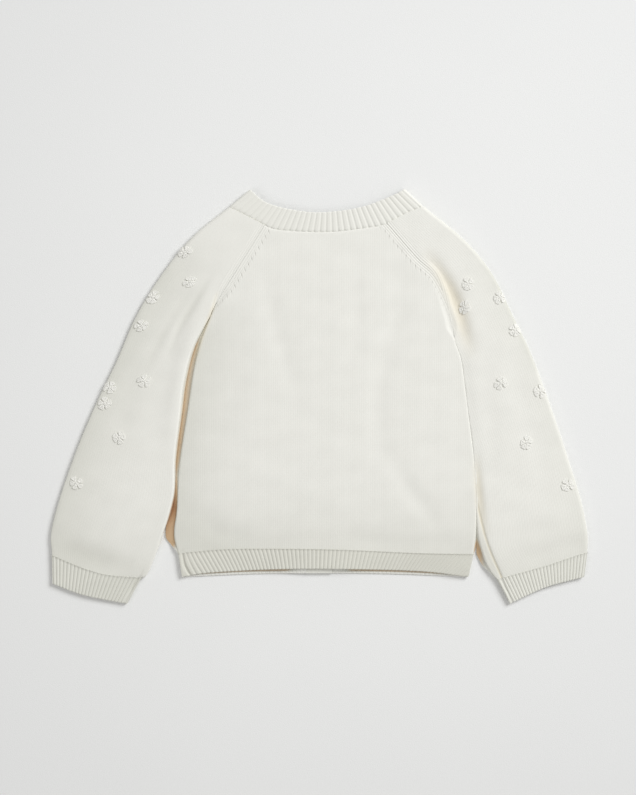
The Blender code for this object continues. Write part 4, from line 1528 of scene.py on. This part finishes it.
# Flowers of looped yarn on the sleeves: place on the floor plan and turn in degrees
flowers = {
    "left": [
        {"x": -130, "y": 137.5, "turn": 10},
        {"x": -122.5, "y": 108.5, "turn": 40},
        {"x": -158, "y": 94, "turn": 15},
        {"x": -169, "y": 67, "turn": 55},
        {"x": -166, "y": 14.5, "turn": 5},
        {"x": -199.5, "y": 8.5, "turn": 30},
        {"x": -204, "y": -7, "turn": 0},
        {"x": -190, "y": -39, "turn": 20},
        {"x": -231, "y": -82.5, "turn": 50},
    ],
    "right": [
        {"x": 141, "y": 106.5, "turn": 12},
        {"x": 138, "y": 84.5, "turn": 35},
        {"x": 171.5, "y": 94, "turn": 8},
        {"x": 186, "y": 63, "turn": 48},
        {"x": 172.5, "y": 12.5, "turn": 25},
        {"x": 210, "y": 5, "turn": 60},
        {"x": 196.5, "y": -44, "turn": 5},
        {"x": 236, "y": -84.5, "turn": 33},
    ],
}
petal = {
    "count": 5, "strands": 5, "steps": 16, "yarnRadius": 0.46, "sunk": 0.1,
    "reach": 6.5, "halfWidth": 2.7, "rise": 0.95, "root": 0.9, "rootRise": 0.3,
    # share of each size, from the innermost loop of a petal to the outermost
    "reaches": (0.55, 0.95), "widths": (0.1, 1.0), "rises": (0.95, 0.62),
    # by how much petals and loops differ
    "seed": 12, "turnOff": 0.14, "lengths": (0.88, 1.08),
    "reachVaries": (0.95, 1.03), "widthVaries": (0.9, 1.08), "riseVaries": (0.85, 1.12),
    # how round the loops are at the tip, along the sides and at the root, and where they stand highest
    "tipPower": 0.75, "sidePower": 0.7, "rootPower": 0.35, "crown": 3.2, "tipRise": 0.2, "lying": 0.75,
}
heart = {
    "steps": 26, "rings": (1.8, 2.7), "ringHeight": 0.36, "waves": 7, "waveDepth": 0.06,
    "knotTurns": 2.2, "knotRadius": (1.15, 0.35), "knotHeight": (0.42, 1.1),
}


# Columns and rows of a sleeve's upper layer: where a search for a place starts, and its limits
spotSearch = {
    "start": (1.5, 0.5), "small": (0.01, 0.005), "rounds": 14, "share": 0.8,
    "least": (1.02, 0.05), "most": (1.98, 0.95),
}
slopeSteps = {"column": 0.02, "row": 0.004, "length": 0.01}


def sleeveSpot(tube, x, y):
    # the column and row whose place on the floor plan is x, y
    spot = np.array(spotSearch["start"])
    small = np.array(spotSearch["small"])
    for _ in range(spotSearch["rounds"]):
        c = spot[0] + small[0] * np.array([0, 1, 0])
        v = spot[1] + small[1] * np.array([0, 0, 1])
        here, across, along = tube.place(c, v)[:, :2]
        slopes = np.column_stack([across - here, along - here]) / small
        step = np.linalg.solve(slopes, np.array([x, y]) - here)
        spot = np.clip(spot + spotSearch["share"] * step, spotSearch["least"], spotSearch["most"])
    return spot


def columnAfter(c, across, width):
    # the column that lies a length across from column c, over the fold where it reaches that far
    flat = width - foldRadius - valleyWidth
    reach = (c - 1) * flat + across
    over = 2 + (reach - flat) / foldRadius / (math.pi / 2)
    return np.where(reach <= flat, 1 + reach / flat, over)


def roundWay(radius, angle, height):
    # a way round the flower's middle
    return np.stack([radius * np.cos(angle), radius * np.sin(angle), height + 0 * angle], axis=-1)


def petalLoop(angle, length, share, drawn):
    # one loop of yarn, from the middle out and back, in (across, along, height)
    size = petal
    f = np.linspace(0, 1, size["steps"])
    reach = size["reach"] * mix(*size["reaches"], share) * drawn.uniform(*size["reachVaries"]) * length
    width = size["halfWidth"] * mix(*size["widths"], share) * drawn.uniform(*size["widthVaries"])
    rise = size["rise"] * mix(*size["rises"], share) * drawn.uniform(*size["riseVaries"])
    outShare = np.sin(math.pi * f) ** size["tipPower"]
    out = size["root"] + (reach - size["root"]) * outShare
    wide = np.sin(2 * math.pi * f)
    side = -width * np.sign(wide) * np.abs(wide) ** size["sidePower"]
    side = side * np.sin(math.pi * f) ** size["rootPower"]
    crown = outShare * (1 - outShare) * size["crown"] + size["tipRise"] * outShare
    height = size["yarnRadius"] * size["lying"] + (rise - size["rootRise"]) * crown
    across = out * math.cos(angle) - side * math.sin(angle)
    along = out * math.sin(angle) + side * math.cos(angle)
    return np.stack([across, along, height], axis=-1)


def petalWays(turn, drawn):
    # loops side by side in each petal, then rings and a knot in the middle
    ways = []
    for k in range(petal["count"]):
        angle = turn + 2 * math.pi * k / petal["count"] + drawn.uniform(-1, 1) * petal["turnOff"]
        length = drawn.uniform(*petal["lengths"])
        for s in range(petal["strands"]):
            ways.append(petalLoop(angle, length, (s + 0.5) / petal["strands"], drawn))
    for radius in heart["rings"]:
        turns = np.linspace(0, 2 * math.pi, heart["steps"]) + drawn.uniform(0, 2)
        wavy = radius * (1 + heart["waveDepth"] * np.sin(turns * heart["waves"] + radius))
        ways.append(roundWay(wavy, turns, heart["ringHeight"]))
    knot = np.linspace(0, heart["knotTurns"] * 2 * math.pi, heart["steps"])
    shrink, climb = (np.linspace(*heart[key], heart["steps"]) for key in ("knotRadius", "knotHeight"))
    ways.append(roundWay(shrink, knot, climb))
    return ways


def addFlower(name, tube, flower, out, drawn):
    c0, v0 = sleeveSpot(tube, flower["x"], flower["y"])
    width = np.linalg.norm(tube.upper(1, v0) - tube.upper(0, v0))
    small = slopeSteps["length"]
    length = np.linalg.norm(tube.upper(0.5, v0 + small) - tube.upper(0.5, v0 - small)) / (2 * small)
    ways = petalWays(math.radians(flower["turn"]), drawn)
    points, quads, measures = strandMesh(ways, petal["yarnRadius"])
    c = columnAfter(c0, points[:, 0], width)
    v = v0 + points[:, 1] / length
    alongC = tube.place(c + slopeSteps["column"], v) - tube.place(c - slopeSteps["column"], v)
    alongV = tube.place(c, v + slopeSteps["row"]) - tube.place(c, v - slopeSteps["row"])
    normal = np.cross(alongC, alongV) * out
    normal /= np.linalg.norm(normal, axis=-1, keepdims=True)
    placed = tube.place(c, v) + normal * (points[:, 2:3] - petal["sunk"])
    quads = quads if out > 0 else quads[:, ::-1]
    piece = makeMesh(name + "_yarn", placed, quads, "yarn", {"strand": measures})
    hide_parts(name)
    return piece


drawn = np.random.default_rng(petal["seed"])
for side in sides:
    sewnOn["sleeve_" + side] = [
        addFlower(f"flower_{side}_{i + 1}", tubes[side], flower, outward[side], drawn)
        for i, flower in enumerate(flowers[side])
    ]
print("flowers made")

floorSizes = {"halfWidth": 9000, "lines": 21, "below": 0.1}


def addFloor():
    mesh = bpy.data.meshes.new("floor")
    count = floorSizes["lines"]
    reach = np.linspace(-floorSizes["halfWidth"], floorSizes["halfWidth"], count)
    x, y = np.meshgrid(reach, reach)
    points = np.stack([x, y, np.full_like(x, -floorSizes["below"])], axis=-1).reshape(-1, 3)
    mesh.from_pydata((points * mm).tolist(), [], gridQuads(count, count, 0, False).tolist())
    mesh.materials.append(floorLook())
    floor = bpy.data.objects.new("floor", mesh)
    bpy.context.scene.collection.objects.link(floor)


addFloor()

# Camera straight above, in millimetres, and soft light from the upper right, in metres
studio = {
    "middle": (-1.1, -1.2, 6), "distance": 2200, "viewHeight": 755, "sensor": 36, "clipEnd": 20000,
    "keyPlace": (2.49, 1.98, 2.41), "keySize": 2.1, "keyPower": 120.5,
    "fillPlace": (-1.8, -1.2, 2.2), "fillSize": 1.8, "fillPower": 11,
    "lightColour": (0.993, 1.0, 1.008), "skyColour": (1.0, 0.985, 0.958), "sky": 0.45,
}


def addCamera():
    data = bpy.data.cameras.new("camera")
    data.sensor_fit = "AUTO"
    data.sensor_width = studio["sensor"]
    data.lens = studio["sensor"] * studio["distance"] / studio["viewHeight"]
    data.clip_end = studio["clipEnd"] * mm
    camera = bpy.data.objects.new("camera", data)
    x, y, z = studio["middle"]
    camera.location = (x * mm, y * mm, (studio["distance"] + z) * mm)
    bpy.context.scene.collection.objects.link(camera)
    bpy.context.scene.camera = camera


def addLight(name, place, size, power):
    data = bpy.data.lights.new(name, "AREA")
    data.shape = "DISK"
    data.size = size
    data.energy = power
    data.color = studio["lightColour"]
    light = bpy.data.objects.new(name, data)
    light.location = place
    toward = -np.array(place)
    flat = math.hypot(toward[0], toward[1])
    light.rotation_euler = (math.atan2(flat, -toward[2]), 0, math.atan2(toward[1], toward[0]) - math.pi / 2)
    bpy.context.scene.collection.objects.link(light)


def addWorld():
    world = bpy.data.worlds.new("studio")
    world.use_nodes = True
    sky = world.node_tree.nodes["Background"]
    sky.inputs["Color"].default_value = (*studio["skyColour"], 1)
    sky.inputs["Strength"].default_value = studio["sky"]
    bpy.context.scene.world = world


addCamera()
addLight("key", studio["keyPlace"], studio["keySize"], studio["keyPower"])
addLight("fill", studio["fillPlace"], studio["fillSize"], studio["fillPower"])
addWorld()
bpy.context.scene.view_settings.view_transform = "Standard"
print("studio made")
